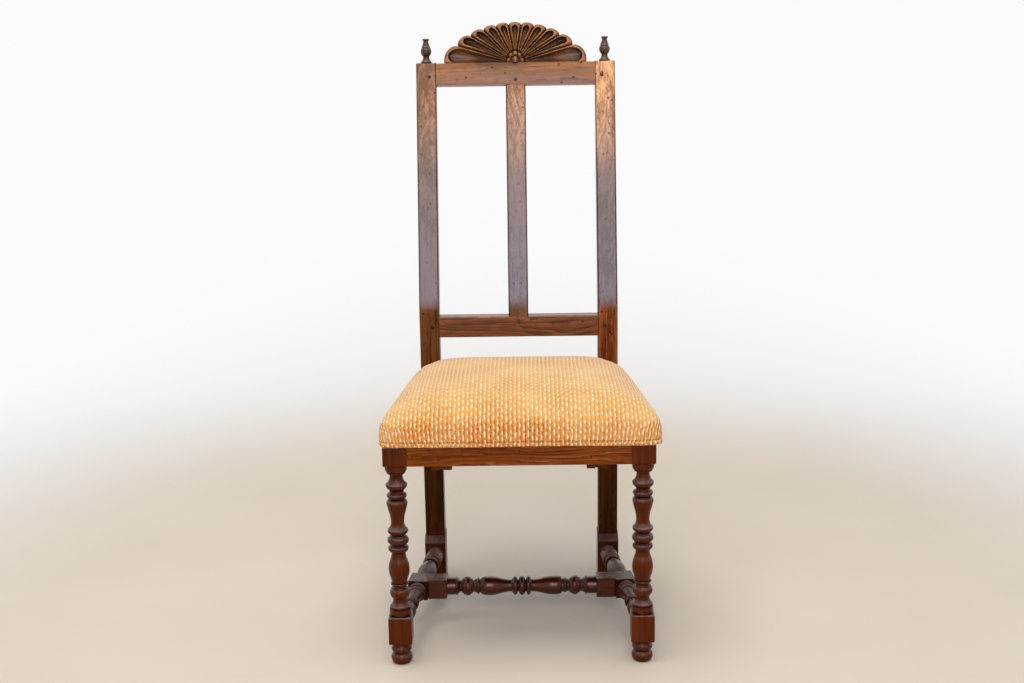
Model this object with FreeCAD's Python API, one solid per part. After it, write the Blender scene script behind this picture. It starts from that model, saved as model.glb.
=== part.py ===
"""Upholstered side chair with a carved shell crest and turned legs.

The frame is pegged mortise-and-tenon work: two turned front legs, two sawn back
posts, four seat rails, a carved crest rail, a lower back rail with a mullion
between them, and a turned H stretcher. The padded seat is made up on its own board
and screwed down on the rails from below.

Millimetres. The chair faces -Y, +Z is up, and the origin is on the floor under the
middle of the chair's box. Left and right are as seen from the front.
"""
import FreeCAD
import Part
import math
import os

Vector = FreeCAD.Vector

# Plan of the frame
front_width = 480.0
rear_width = 392.0
seat_depth = 387.0

# Heights
frame_top = 412.0
lower_rail_bottom = 521.0
bend_height = 574.0
crest_rise = 447.0
back_rake = 12.5

# Fits shared by every joint
fit = 0.15
tenon_end_gap = 1.0
soft_gap = 0.3
overrun = 6.0
edge_round = 2.0

# Front legs
leg_block = 43.0
lower_block = 42.0
lower_block_height = 51.5
foot_height = 41.0
block_chamfer = 1.6
block_round = 1.5

# Seat rails and their tenons
rail_height = 35.0
rail_thickness = 25.0
rail_reveal = 0.8
rail_tenon_thickness = 9.0
rail_tenon_height = 24.0
front_tenon_length = 23.0
side_tenon_length = 17.0
rear_tenon_length = 15.0
rear_rail_setback = 4.0

# Back posts
post_width = 39.0
post_depth = 40.0
post_top_depth = 33.0
post_round = 3.0
bend_radius = 60.0
rear_foot_width = 42.0
rear_foot_forward = 7.0
rear_leg_setback = 8.0
rear_leg_kick = 11.0
rear_shoulder_height = 92.0
rear_shoulder_rise = 12.0
leg_straight_height = 352.0

# Back rails, mullion and their tenons
crest_height = 42.5
crest_thickness = 28.0
lower_rail_height = 41.5
lower_rail_thickness = 28.0
back_rail_reveal = 1.0
back_tenon_thickness = 10.0
back_tenon_height = 28.0
back_tenon_length = 26.0
crest_tenon_height = 24.0
crest_tenon_foot = 4.0
mullion_width = 39.0
mullion_thickness = 22.0
mullion_setback = 3.0
mullion_tenon_width = 26.0
mullion_tenon_thickness = 9.0
mullion_tenon_length = 18.0

# Carved shell on the crest
shell_width = 273.0
shell_height = 74.0
shell_lobes = 11
lobe_bulge = 4.6
scoop_depth = 5.0
scoop_rim = 4.8
scoop_start_radius = 2.6
scoop_start_depth = 1.4
scoop_inner_share = 0.34
groove_width = 3.2
groove_depth = 3.0
boss_radius = 16.5
boss_proud = 4.0
boss_rise = 4.0
button_radius = 6.0
button_proud = 3.0
shell_thinning = 8.0

# Finials
finial_height = 48.0
finial_radius = 10.8
finial_tenon_radius = 4.5
finial_tenon_length = 12.0

# Stretchers
stretcher_height = 67.0
stretcher_block = 38.0
middle_block_length = 43.0
middle_block_place = 213.5
cross_block_length = 34.0
stretcher_tenon_radius = 8.0
stretcher_tenon_length = 17.0
cross_tenon_length = 14.0

# Pegs of the back's joints
peg_radius = 3.5
peg_length = 24.0
peg_proud = 0.6
peg_shoulder = 13.0

# Battens under the seat frame
batten_inner = 119.0
batten_width = 36.0
batten_thickness = 12.0
batten_front_setback = 18.0
batten_rear_setback = 8.0

# Corner blocks
corner_reach = 48.0
corner_thickness = 22.0
corner_drop = 1.0
corner_gap = 0.3

# Wood screws
screw_radius = 2.2
screw_clear = 0.2
screw_head_radius = 4.4
screw_head_height = 2.8
screw_bite = 8.0

# Seat: board, padding, cover and welt
base_setback = 1.5
side_bulge = 9.0
bulge_height = 28.0
seat_rise = 95.0
seat_corner = 20.0
bulge_corner = 40.0
corner_growth_share = 0.35
cover_thickness = 1.5
margin_thickness = 1.2
margin_width = 27.0
board_thickness = 12.0
dust_thickness = 0.8
notch_gap = 0.8
welt_radius = 4.0
welt_end_gap = 2.0

# Turned outlines, as rows of length share, radius share halfway along the row, and
# radius share at its end. Lengths are shares of the sum of the column, radii of half
# the square stock. A row without a middle radius is straight, and one without length
# is a square step.
leg_start_share = 0.91
leg_turning_shares = [
    (6.0, 0.93, 0.90), (0.0, None, 0.79), (6.0, 0.72, 0.74), (7.0, 0.83, 0.70),
    (0.0, None, 0.53), (14.5, 0.565, 0.69), (0.0, None, 0.715), (14.0, 0.875, 0.70),
    (0.0, None, 0.575), (6.0, 0.53, 0.595), (6.0, 0.725, 0.625),
    (21.0, 0.825, 0.89), (30.0, 0.765, 0.585), (3.5, None, 0.585), (0.0, None, 0.735),
    (15.0, 0.87, 0.74), (5.0, 0.72, 0.74), (11.5, 0.87, 0.735), (5.5, 0.705, 0.735),
    (14.5, 0.86, 0.725), (0.0, None, 0.62), (8.0, None, 0.615), (14.0, 0.645, 0.71),
    (17.0, 0.83, 0.89), (15.0, 0.855, 0.735), (6.5, 0.85, 0.715), (0.0, None, 0.595),
    (8.5, 0.55, 0.605), (0.0, None, 0.705), (14.0, 0.89, 0.705), (0.0, None, 0.68),
    (16.5, 0.565, 0.755), (5.5, 0.865, 0.94), (14.0, 0.965, 0.95),
]
foot_start_share = 0.80
foot_turning_shares = [
    (5.5, 0.93, 0.90), (7.5, 0.85, 0.66), (3.5, 0.63, 0.68), (10.5, 0.84, 0.69),
    (14.0, 0.66, 0.74),
]
cross_start_share = 0.92
cross_turning_shares = [
    (17.0, None, 0.92), (0.0, None, 0.80), (2.0, None, 0.80), (0.0, None, 0.90),
    (3.5, 0.93, 0.88), (0.0, None, 0.76), (9.0, 0.68, 0.70), (0.0, None, 0.78),
    (19.5, 0.97, 0.78), (0.0, None, 0.64), (5.5, 0.60, 0.64), (0.0, None, 0.80),
    (8.5, 0.95, 0.80), (15.0, 0.93, 0.97), (27.0, 0.86, 0.69), (15.5, 0.665, 0.68),
    (0.0, None, 0.84), (12.0, 0.96, 0.86), (2.5, 0.82, 0.86), (7.5, 0.945, 0.98),
]
side_front_start_share = 0.92
side_front_shares = [
    (22.0, None, 0.92), (0.0, None, 0.78), (8.0, 0.84, 0.74), (0.0, None, 0.60),
    (18.0, 0.78, 0.84), (26.0, 0.78, 0.54), (4.0, 0.50, 0.54), (0.0, None, 0.60),
    (14.0, 0.76, 0.58), (0.0, None, 0.50), (28.0, 0.56, 0.72), (0.0, None, 0.76),
    (9.0, 0.86, 0.78), (3.0, 0.74, 0.80), (10.0, 0.94, 0.86),
]
side_rear_start_share = 0.80
side_rear_shares = [
    (6.0, 0.70, 0.74), (0.0, None, 0.80), (9.0, 0.90, 0.76), (0.0, None, 0.58),
    (4.0, 0.55, 0.60), (26.0, 0.84, 0.94), (40.0, 0.86, 0.60), (0.0, None, 0.72),
    (9.0, 0.86, 0.74), (3.0, 0.68, 0.74), (10.0, 0.90, 0.84), (3.0, 0.80, 0.84),
    (34.0, None, 0.92),
]
finial_start_share = 0.98
finial_shares = [
    (3.0, 1.00, 0.94), (0.0, None, 0.86), (8.5, 0.55, 0.45), (6.0, 0.56, 0.82),
    (9.5, 1.00, 0.84), (15.0, 0.60, 0.47), (0.0, None, 0.56), (3.0, 0.66, 0.62),
    (3.0, 0.60, 0.44),
]

# Height shares of the sections that the cushion's dome is drawn through, above its
# widest line, and the power of its rounded section
dome_shares = [0.0, 0.25, 0.46, 0.63, 0.77, 0.87, 0.94, 1.0]
dome_top_inset_share = 0.80
dome_power = 2.1

# Places worked out from the sizes above
rake = math.radians(back_rake)
seat_crown = frame_top + seat_rise
crest_top_rise = crest_rise + crest_height
post_top = bend_height + crest_top_rise * math.cos(rake)
shell_reach = crest_top_rise + shell_height + lobe_bulge
front_most = base_setback - side_bulge
rear_most = (seat_depth + shell_reach * math.sin(rake)
             + (back_rail_reveal + crest_thickness - shell_thinning) * math.cos(rake))
front_y = -(front_most + rear_most) / 2
post_y = front_y + seat_depth
leg_x = (front_width - leg_block) / 2
leg_y = front_y + leg_block / 2
post_x = (rear_width - post_width) / 2
post_inner = rear_width / 2 - post_width
rail_bottom = frame_top - rail_height
rail_middle = frame_top - rail_height / 2
lower_block_top = foot_height + lower_block_height
rail_front_y = front_y + rail_reveal
rear_rail_y = post_y + rear_rail_setback
foot_front_y = post_y - rear_foot_forward
lower_block_y = leg_y + lower_block / 2
lower_rail_top = lower_rail_bottom + lower_rail_height
lower_rail_y = post_y + back_rail_reveal


def box(x0, x1, y0, y1, z0, z1):
    """Block between two opposite corners, given axis by axis in any order."""
    low = Vector(min(x0, x1), min(y0, y1), min(z0, z1))
    return Part.makeBox(abs(x1 - x0), abs(y1 - y0), abs(z1 - z0), low)


def prism(points, travel):
    """Straight-sided outline pushed along a vector."""
    return Part.Face(Part.makePolygon(points + points[:1])).extrude(travel)


def plan_prism(points, z0, z1):
    """Plan outline, as x and y pairs, between two heights."""
    return prism([Vector(x, y, z0) for x, y in points], Vector(0, 0, z1 - z0))


def cylinder(radius, base, tip):
    """Round bar from one point to another."""
    axis = tip - base
    return Part.makeCylinder(radius, axis.Length, base, axis)


def mirrored(shape):
    """The same piece on the other side of the chair."""
    return shape.mirror(Vector(0, 0, 0), Vector(1, 0, 0))


def rounded(shape, radius, wanted):
    """Rounds the edges that the test picks out."""
    return shape.makeFillet(radius, [edge for edge in shape.Edges if wanted(edge)])


def runs_along(edge, axis):
    """True for a straight edge that runs along an axis given as a unit vector."""
    span = edge.Vertexes[-1].Point - edge.Vertexes[0].Point
    return abs(abs(span.dot(axis)) - edge.Length) < edge.Length / 1000


def turned(start_share, rows, length, radius):
    """Lathe work along +Z from the origin, from an outline of shares."""
    total = sum(row[0] for row in rows)
    at = Vector(start_share * radius, 0, 0)
    edges = [Part.makeLine(Vector(0, 0, 0), at)]
    for run_share, middle_share, end_share in rows:
        run = length * run_share / total
        end = Vector(end_share * radius, 0, at.z + run)
        if middle_share is None:
            edges.append(Part.makeLine(at, end))
        else:
            middle = Vector(middle_share * radius, 0, at.z + run / 2)
            edges.append(Part.Arc(at, middle, end).toShape())
        at = end
    edges.append(Part.makeLine(at, Vector(0, 0, at.z)))
    edges.append(Part.makeLine(Vector(0, 0, at.z), Vector(0, 0, 0)))
    face = Part.Face(Part.Wire(edges))
    return face.revolve(Vector(0, 0, 0), Vector(0, 0, 1), 360)


def on_back(shape):
    """Leans a piece drawn upright at the origin back onto the line of the posts."""
    moved = shape.copy()
    lean = FreeCAD.Rotation(Vector(1, 0, 0), -back_rake)
    moved.Placement = FreeCAD.Placement(Vector(0, post_y, bend_height), lean)
    return moved


def on_axis(shape, base, tip):
    """Lays a piece drawn along +Z at the origin on the line between two points."""
    moved = shape.copy()
    up = Vector(0, 0, 1)
    turn = FreeCAD.Rotation(up, Vector(0, 1, 0), tip - base, "ZXY")
    moved.Placement = FreeCAD.Placement(base, turn)
    return moved


def front_leg_axis(height):
    """Point on the right front leg's centre line."""
    return Vector(leg_x, leg_y, height)


# Tenons, each made once and used for its own rail and, grown, for its mortise

def front_rail_tenon(grow):
    """Right-hand tenon of the front rail."""
    shoulder = front_width / 2 - leg_block
    middle = rail_front_y + rail_thickness / 2
    half = rail_tenon_thickness / 2 + grow
    rise = rail_tenon_height / 2 + grow
    end = front_tenon_length + (tenon_end_gap if grow else 0)
    return box(shoulder, shoulder + end, middle - half, middle + half,
               rail_middle - rise, rail_middle + rise)


def side_rail_line(y):
    """Centre of the right side rail in plan, in line with the frame's outer edge."""
    front_x = front_width / 2 - rail_reveal - rail_thickness / 2
    rear_x = rear_width / 2 - rail_reveal - rail_thickness / 2
    share = (y - front_y) / seat_depth
    return front_x + (rear_x - front_x) * share


def side_rail_bar(y0, y1, thickness, height):
    """Stretch of the right side rail between two depths."""
    half = thickness / 2
    plan = [(side_rail_line(y0) - half, y0), (side_rail_line(y0) + half, y0),
            (side_rail_line(y1) + half, y1), (side_rail_line(y1) - half, y1)]
    return plan_prism(plan, rail_middle - height / 2, rail_middle + height / 2)


def side_rail_tenons(grow):
    """Tenons at both ends of the right side rail."""
    reach = side_tenon_length + (tenon_end_gap if grow else 0)
    thickness = rail_tenon_thickness + 2 * grow
    height = rail_tenon_height + 2 * grow
    front = side_rail_bar(front_y + leg_block - reach, front_y + leg_block, thickness, height)
    rear = side_rail_bar(post_y, post_y + reach, thickness, height)
    return front, rear


def rear_rail_tenon(grow):
    """Right-hand tenon of the rear rail."""
    middle = rear_rail_y + rail_thickness / 2
    half = rail_tenon_thickness / 2 + grow
    rise = rail_tenon_height / 2 + grow
    end = rear_tenon_length + (tenon_end_gap if grow else 0)
    return box(post_inner, post_inner + end, middle - half, middle + half,
               rail_middle - rise, rail_middle + rise)


def lower_rail_tenon(grow):
    """Right-hand tenon of the lower back rail."""
    middle_y = lower_rail_y + lower_rail_thickness / 2
    middle_z = lower_rail_bottom + lower_rail_height / 2
    half = back_tenon_thickness / 2 + grow
    rise = back_tenon_height / 2 + grow
    end = back_tenon_length + (tenon_end_gap if grow else 0)
    return box(post_inner, post_inner + end, middle_y - half, middle_y + half,
               middle_z - rise, middle_z + rise)


def crest_tenon(grow):
    """Right-hand tenon of the crest rail, upright at the back's own origin."""
    middle_y = back_rail_reveal + crest_thickness / 2
    bottom = crest_rise + crest_tenon_foot
    half = back_tenon_thickness / 2 + grow
    end = back_tenon_length + (tenon_end_gap if grow else 0)
    return box(post_inner, post_inner + end, middle_y - half, middle_y + half,
               bottom - grow, bottom + crest_tenon_height + grow)


def mullion_foot():
    """Height of the lower rail's top on the back's own leaning line."""
    return (lower_rail_top - bend_height) / math.cos(rake)


def mullion_tenon(upper, grow):
    """Upper or lower tenon of the mullion, upright at the back's own origin."""
    middle_y = mullion_setback + mullion_thickness / 2
    half = mullion_tenon_thickness / 2 + grow
    side = mullion_tenon_width / 2 + grow
    reach = mullion_tenon_length + (tenon_end_gap if grow else 0)
    root = crest_rise if upper else mullion_foot() + overrun
    end = crest_rise + reach if upper else mullion_foot() - reach
    return box(-side, side, middle_y - half, middle_y + half, root, end)


def finial_foot():
    """Middle of the right post's flat top."""
    top_y = post_y + crest_top_rise * math.sin(rake) + post_top_depth / 2
    return Vector(post_x, top_y, post_top)


def finial_tenon(grow):
    """Dowel under the right finial."""
    reach = finial_tenon_length + (tenon_end_gap if grow else 0)
    foot = finial_foot()
    return cylinder(finial_tenon_radius + grow, foot - Vector(0, 0, reach), foot)


# Stretcher lines

def side_stretcher_line(y):
    """Point on the right side stretcher's centre line."""
    share = (y - lower_block_y) / (foot_front_y - lower_block_y)
    return Vector(leg_x + (post_x - leg_x) * share, y, stretcher_height)


def side_stretcher_tenons(grow):
    """Round tenons at both ends of the right side stretcher."""
    reach = stretcher_tenon_length + (tenon_end_gap if grow else 0)
    radius = stretcher_tenon_radius + grow
    front = side_stretcher_line(lower_block_y)
    rear = side_stretcher_line(foot_front_y)
    along = (rear - front).normalize()
    root = along * overrun
    return (cylinder(radius, front - along * reach, front + root),
            cylinder(radius, rear - root, rear + along * reach))


def middle_block(length, edge_radius):
    """Square block halfway along the right side stretcher, with rounded or sharp long edges."""
    middle = side_stretcher_line(front_y + middle_block_place)
    along = (side_stretcher_line(foot_front_y) - middle).normalize()
    half = stretcher_block / 2
    bar = box(-half, half, -half, half, 0, length)
    if edge_radius:
        bar = rounded(bar, edge_radius, lambda edge: runs_along(edge, Vector(0, 0, 1)))
    base = middle - along * (length / 2)
    return on_axis(bar, base, base + along)


def cross_end():
    """Where the cross stretcher's centre line meets the right middle block."""
    middle = side_stretcher_line(front_y + middle_block_place)
    along = (side_stretcher_line(foot_front_y) - middle).normalize()
    return middle - Vector(stretcher_block / 2 / along.y, 0, 0)


def cross_tenon(grow):
    """Right-hand round tenon of the cross stretcher."""
    end = cross_end()
    reach = cross_tenon_length + (tenon_end_gap if grow else 0)
    root = Vector(overrun, 0, 0)
    return cylinder(stretcher_tenon_radius + grow, end - root, end + Vector(reach, 0, 0))


# Pegs

def crest_peg(grow):
    """Peg of the right crest joint, upright at the back's own origin."""
    middle = crest_rise + crest_tenon_foot + crest_tenon_height / 2
    place = Vector(post_inner + peg_shoulder, -peg_proud, middle)
    return cylinder(peg_radius + grow, place, place + Vector(0, peg_length, 0))


def lower_rail_peg(grow):
    """Peg of the right lower rail joint."""
    middle = lower_rail_bottom + lower_rail_height / 2
    place = Vector(post_inner + peg_shoulder, post_y - peg_proud, middle)
    return cylinder(peg_radius + grow, place, place + Vector(0, peg_length, 0))


def mullion_peg(upper, grow):
    """Peg of the mullion's upper or lower tenon, upright at the back's own origin."""
    step = mullion_tenon_length / 2
    height = crest_rise + step if upper else mullion_foot() - step
    place = Vector(0, back_rail_reveal - peg_proud, height)
    return cylinder(peg_radius + grow, place, place + Vector(0, peg_length, 0))


# Wooden pieces, made on the right

def front_leg():
    """Turned front leg with a square top, a square stretcher block and a bun foot."""
    half = leg_block / 2
    low = lower_block / 2
    top = box(leg_x - half, leg_x + half, leg_y - half, leg_y + half, rail_bottom, frame_top)
    block = box(leg_x - low, leg_x + low, leg_y - low, leg_y + low, foot_height, lower_block_top)
    level = [edge for edge in block.Edges if not runs_along(edge, Vector(0, 0, 1))]
    block = block.makeChamfer(block_chamfer, level)
    top = rounded(top, block_round, lambda edge: runs_along(edge, Vector(0, 0, 1)))
    turning = turned(leg_start_share, leg_turning_shares, rail_bottom - lower_block_top, half)
    turning.translate(front_leg_axis(lower_block_top))
    foot = turned(foot_start_share, foot_turning_shares, foot_height, half)
    foot.translate(front_leg_axis(0))
    leg = top.fuse([block, turning, foot])
    mortises = [front_rail_tenon(fit), side_rail_tenons(fit)[0], side_stretcher_tenons(fit)[0]]
    return leg.cut(mortises)


def front_seat_rail():
    """Front seat rail between the front legs."""
    reach = front_width / 2 - leg_block
    bar = box(-reach, reach, rail_front_y, rail_front_y + rail_thickness, rail_bottom, frame_top)
    bar = rounded(bar, edge_round, lambda edge: runs_along(edge, Vector(1, 0, 0)))
    tenon = front_rail_tenon(0)
    rail = bar.fuse([tenon, mirrored(tenon)])
    return rail.cut(batten_screw_holes())


def rear_seat_rail():
    """Rear seat rail between the posts."""
    bar = box(-post_inner, post_inner, rear_rail_y, rear_rail_y + rail_thickness, rail_bottom, frame_top)
    bar = rounded(bar, edge_round, lambda edge: runs_along(edge, Vector(1, 0, 0)))
    tenon = rear_rail_tenon(0)
    rail = bar.fuse([tenon, mirrored(tenon)])
    return rail.cut(batten_screw_holes())


def side_seat_rail():
    """Side seat rail from the front leg to the back post."""
    bar = side_rail_bar(front_y + leg_block, post_y, rail_thickness, rail_height)
    front = Vector(side_rail_line(front_y), front_y, 0)
    rear = Vector(side_rail_line(post_y), post_y, 0)
    slant = (rear - front).normalize()
    bar = rounded(bar, edge_round, lambda edge: runs_along(edge, slant))
    return bar.fuse(list(side_rail_tenons(0)))


def post_outline():
    """Side outline of a back post as y and z pairs, from the leg's shoulder round."""
    top_front = post_y + crest_top_rise * math.sin(rake)
    top_rear = top_front + post_top_depth
    shoulder_top = rear_shoulder_height + rear_shoulder_rise
    rear = post_y + post_depth
    return [(post_y + rear_leg_setback, shoulder_top), (post_y, leg_straight_height), (post_y, bend_height),
            (top_front, post_top), (top_rear, post_top), (rear, bend_height), (rear, leg_straight_height),
            (rear + rear_leg_kick, shoulder_top)]


def back_post():
    """Back post and rear leg in one piece, bent at the lower rail and blocked at the foot."""
    inner = Vector(post_width, 0, 0)
    points = [Vector(post_inner, y, z) for y, z in post_outline()]
    post = prism(points, inner)

    def at_bend(edge):
        level = abs(edge.CenterOfMass.z - bend_height) < edge_round
        return level and runs_along(edge, Vector(1, 0, 0))

    def long_edge(edge):
        flat = abs(edge.CenterOfMass.x - post_x) > post_width / 4
        return flat and not runs_along(edge, Vector(0, 1, 0))

    post = rounded(post, bend_radius, at_bend)
    post = rounded(post, post_round, long_edge)
    half = rear_foot_width / 2
    shoulder_top = rear_shoulder_height + rear_shoulder_rise
    heel = post_y + post_depth + rear_leg_kick
    foot = [(foot_front_y, 0), (foot_front_y, rear_shoulder_height),
            (post_y + rear_leg_setback, shoulder_top), (heel, shoulder_top), (heel, 0)]
    block = prism([Vector(post_x - half, y, z) for y, z in foot], Vector(rear_foot_width, 0, 0))
    block = rounded(block, edge_round, lambda edge: runs_along(edge, Vector(0, 0, 1)))
    post = post.fuse(block)
    cuts = [side_rail_tenons(fit)[1], rear_rail_tenon(fit), side_stretcher_tenons(fit)[1],
            lower_rail_tenon(fit), lower_rail_peg(fit), finial_tenon(fit),
            on_back(crest_tenon(fit)), on_back(crest_peg(fit))]
    return post.cut(cuts)


def lower_back_rail():
    """Lower back rail, level between the posts, with the mullion's mortise."""
    bar = box(-post_inner, post_inner, lower_rail_y, lower_rail_y + lower_rail_thickness,
              lower_rail_bottom, lower_rail_top)
    bar = rounded(bar, edge_round, lambda edge: runs_along(edge, Vector(1, 0, 0)))
    tenon = lower_rail_tenon(0)
    rail = bar.fuse([tenon, mirrored(tenon)])
    peg = lower_rail_peg(fit)
    cuts = [peg, mirrored(peg), on_back(mullion_tenon(False, fit)), on_back(mullion_peg(False, fit))]
    return rail.cut(cuts)


def back_mullion():
    """Upright slat in the middle of the back, tenoned into both back rails."""
    half = mullion_width / 2
    foot = mullion_foot()
    bar = box(-half, half, mullion_setback, mullion_setback + mullion_thickness, foot - overrun, crest_rise)
    bar = rounded(bar, edge_round, lambda edge: runs_along(edge, Vector(0, 0, 1)))
    bar = on_back(bar.fuse(mullion_tenon(True, 0)))
    below = box(-mullion_width, mullion_width, lower_rail_y - mullion_width,
                lower_rail_y + 2 * mullion_width, 0, lower_rail_top)
    slat = bar.cut(below).fuse(on_back(mullion_tenon(False, 0)))
    return slat.cut([on_back(mullion_peg(True, fit)), on_back(mullion_peg(False, fit))])


# Carved crest, drawn upright at the back's own origin

def shell_edge(x):
    """Height of the shell's valley line above the rail: height * (1 - (x / half)^2)^(3/4)."""
    share = 2 * x / shell_width
    return crest_top_rise + shell_height * max(0.0, 1 - share * share) ** 0.75


def lobe_points():
    """Valley points along the shell's edge and the tip between each pair."""
    step = shell_width / shell_lobes
    valleys = []
    for k in range(shell_lobes + 1):
        x = k * step - shell_width / 2
        valleys.append(Vector(x, back_rail_reveal, shell_edge(x)))
    tips = []
    for a, b in zip(valleys, valleys[1:]):
        chord = (b - a).normalize()
        tips.append((a + b) / 2 + Vector(-chord.z, 0, chord.x) * lobe_bulge)
    return valleys, tips


def shell_blank():
    """Scalloped fan above the crest rail, thinner than the rail at the back."""
    valleys, tips = lobe_points()
    edges = [Part.Arc(a, tip, b).toShape() for a, tip, b in zip(valleys, tips, valleys[1:])]
    left = valleys[0]
    right = valleys[-1]
    drop = Vector(0, 0, -crest_height / 2)
    edges.append(Part.makeLine(right, right + drop))
    edges.append(Part.makeLine(right + drop, left + drop))
    edges.append(Part.makeLine(left + drop, left))
    face = Part.Face(Part.Wire(edges))
    return face.extrude(Vector(0, crest_thickness - shell_thinning, 0))


def lobe_scoop(root, tip):
    """Hollow of one lobe: a round gouge that widens and deepens from the boss outward."""
    span = tip - root
    along = span / span.Length
    half = shell_width / shell_lobes / 2 - scoop_rim
    end_radius = (half * half + scoop_depth * scoop_depth) / (2 * scoop_depth)
    out = Vector(0, -1, 0)
    near = root + along * (span.Length * scoop_inner_share) + out * (scoop_start_radius - scoop_start_depth)
    far = root + along * (span.Length - scoop_rim - half) + out * (end_radius - scoop_depth)
    axis = far - near
    gouge = Part.makeCone(scoop_start_radius, end_radius, axis.Length, near, axis)
    return gouge.fuse(Part.makeSphere(end_radius, far))


def lobe_groove(root, valley):
    """V cut between two lobes, from the boss to the notch in the edge."""
    span = valley - root
    along = span / span.Length
    across = Vector(along.z, 0, -along.x) * (groove_width / 2)
    start = root + along * (boss_radius / 2)
    out = Vector(0, -groove_depth, 0)
    wedge = [start + across + out, start + across * 2 + out, start - out, start - across * 2 + out]
    return prism(wedge, along * (span.Length + overrun))


def crest_rail():
    """Crest rail with its fluted shell, carved from one board."""
    bar = box(-post_inner, post_inner, back_rail_reveal, back_rail_reveal + crest_thickness,
              crest_rise, crest_top_rise)
    bar = rounded(bar, edge_round, lambda edge: runs_along(edge, Vector(1, 0, 0)))
    tenon = crest_tenon(0)
    board = bar.fuse([shell_blank(), tenon, mirrored(tenon)])
    valleys, tips = lobe_points()
    root = Vector(0, back_rail_reveal, crest_top_rise + boss_rise)
    board = board.cut([lobe_scoop(root, tip) for tip in tips])
    board = board.cut([lobe_groove(root, valley) for valley in valleys[1:-1]])
    dome = (boss_radius * boss_radius + boss_proud * boss_proud) / (2 * boss_proud)
    boss = Part.makeSphere(dome, root + Vector(0, dome - boss_proud, 0))
    face = root + Vector(0, -boss_proud - overrun, 0)
    boss = boss.common(cylinder(boss_radius, face, root + Vector(0, crest_thickness / 2, 0)))
    button = cylinder(button_radius, root + Vector(0, -boss_proud - button_proud, 0), root)
    button = rounded(button, button_proud / 2, lambda edge: edge.CenterOfMass.y < root.y - boss_proud)
    ornament = boss.fuse(button)
    under = box(-shell_width, shell_width, -crest_thickness, 2 * crest_thickness, 0, crest_top_rise)
    board = board.fuse(ornament.cut(under))
    peg = crest_peg(fit)
    cuts = [peg, mirrored(peg), mullion_tenon(True, fit), mullion_peg(True, fit)]
    return on_back(board.cut(cuts))


def finial():
    """Turned finial with its dowel, on the right post."""
    knob = turned(finial_start_share, finial_shares, finial_height, finial_radius)
    knob.translate(finial_foot())
    return knob.fuse(finial_tenon(0))


def side_stretcher():
    """Turned side stretcher with a square block for the cross stretcher."""
    front = side_stretcher_line(lower_block_y)
    rear = side_stretcher_line(foot_front_y)
    middle = side_stretcher_line(front_y + middle_block_place)
    along = (rear - front).normalize()
    radius = stretcher_block / 2
    block_front = middle - along * (middle_block_length / 2)
    block_rear = middle + along * (middle_block_length / 2)
    front_end = front - along * overrun
    rear_end = rear + along * overrun
    front_part = turned(side_front_start_share, side_front_shares, (block_front - front_end).Length, radius)
    rear_part = turned(side_rear_start_share, side_rear_shares, (rear_end - block_rear).Length, radius)
    bar = middle_block(middle_block_length, block_round).fuse(
        [on_axis(front_part, front_end, block_front), on_axis(rear_part, block_rear, rear_end)])
    beyond = front_width
    bar = bar.cut([box(0, beyond, lower_block_y - beyond, lower_block_y, 0, frame_top),
                   box(0, beyond, foot_front_y, foot_front_y + beyond, 0, frame_top)])
    return bar.fuse(list(side_stretcher_tenons(0))).cut(cross_tenon(fit))


def cross_stretcher():
    """Turned cross stretcher between the side stretchers' blocks."""
    end = cross_end()
    radius = stretcher_block / 2
    inner = end.x - cross_block_length
    half = turned(cross_start_share, cross_turning_shares, inner, radius)
    half = on_axis(half, Vector(inner, end.y, end.z), Vector(0, end.y, end.z))
    block = box(inner, end.x + radius, end.y - radius, end.y + radius, end.z - radius, end.z + radius)
    block = rounded(block, block_round, lambda edge: runs_along(edge, Vector(1, 0, 0)))
    block = block.cut(middle_block(2 * middle_block_length, 0))
    side = half.fuse([block, cross_tenon(0)])
    return side.fuse(mirrored(side)).removeSplitter()


def corner_plan(front):
    """Plan of a right-hand corner block: round the leg's or post's corner, then along the rails."""
    half = rail_thickness / 2
    if front:
        corner_x = front_width / 2 - leg_block - corner_gap
        corner_y = front_y + leg_block + corner_gap
        rail_face = rail_front_y + rail_thickness + corner_gap
        far = corner_y + corner_reach
    else:
        corner_x = post_inner - corner_gap
        corner_y = post_y - corner_gap
        rail_face = rear_rail_y - corner_gap
        far = corner_y - corner_reach

    def side_face(y):
        return side_rail_line(y) - half - corner_gap

    return [(corner_x, corner_y), (side_face(corner_y), corner_y), (side_face(far), far),
            (corner_x - corner_reach, rail_face), (corner_x, rail_face)]


def corner_block(front):
    """Glued block in a right-hand corner of the seat frame, with a seat screw's hole."""
    top = frame_top - corner_drop
    block = plan_prism(corner_plan(front), top - corner_thickness, top)
    return block.cut(seat_screw_bore(front))


def seat_screw_place(front):
    """Plan position of a right-hand seat screw, halfway across its corner block."""
    corner, _, far, near, _ = corner_plan(front)
    x = corner[0] / 2 + (far[0] + near[0]) / 4
    y = corner[1] / 2 + (far[1] + near[1]) / 4
    return x, y


def seat_screw_bore(front):
    """Clear hole for a seat screw, up to its tip."""
    x, y = seat_screw_place(front)
    low = Vector(x, y, frame_top - corner_drop - corner_thickness - overrun)
    tip = Vector(x, y, board_bottom() + screw_bite + tenon_end_gap)
    return cylinder(screw_radius + screw_clear, low, tip)


def seat_screw_bores():
    """Clear holes for all four seat screws."""
    right = [seat_screw_bore(front) for front in (True, False)]
    return right + [mirrored(bore) for bore in right]


def wood_screw(x, y, head_face, tip):
    """Screw driven upward: tapered head under the given face, plain shank to its tip."""
    low = Vector(x, y, head_face - screw_head_height)
    head = Part.makeCone(screw_radius, screw_head_radius, screw_head_height, low)
    return head.fuse(cylinder(screw_radius, Vector(x, y, head_face), Vector(x, y, tip)))


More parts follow.
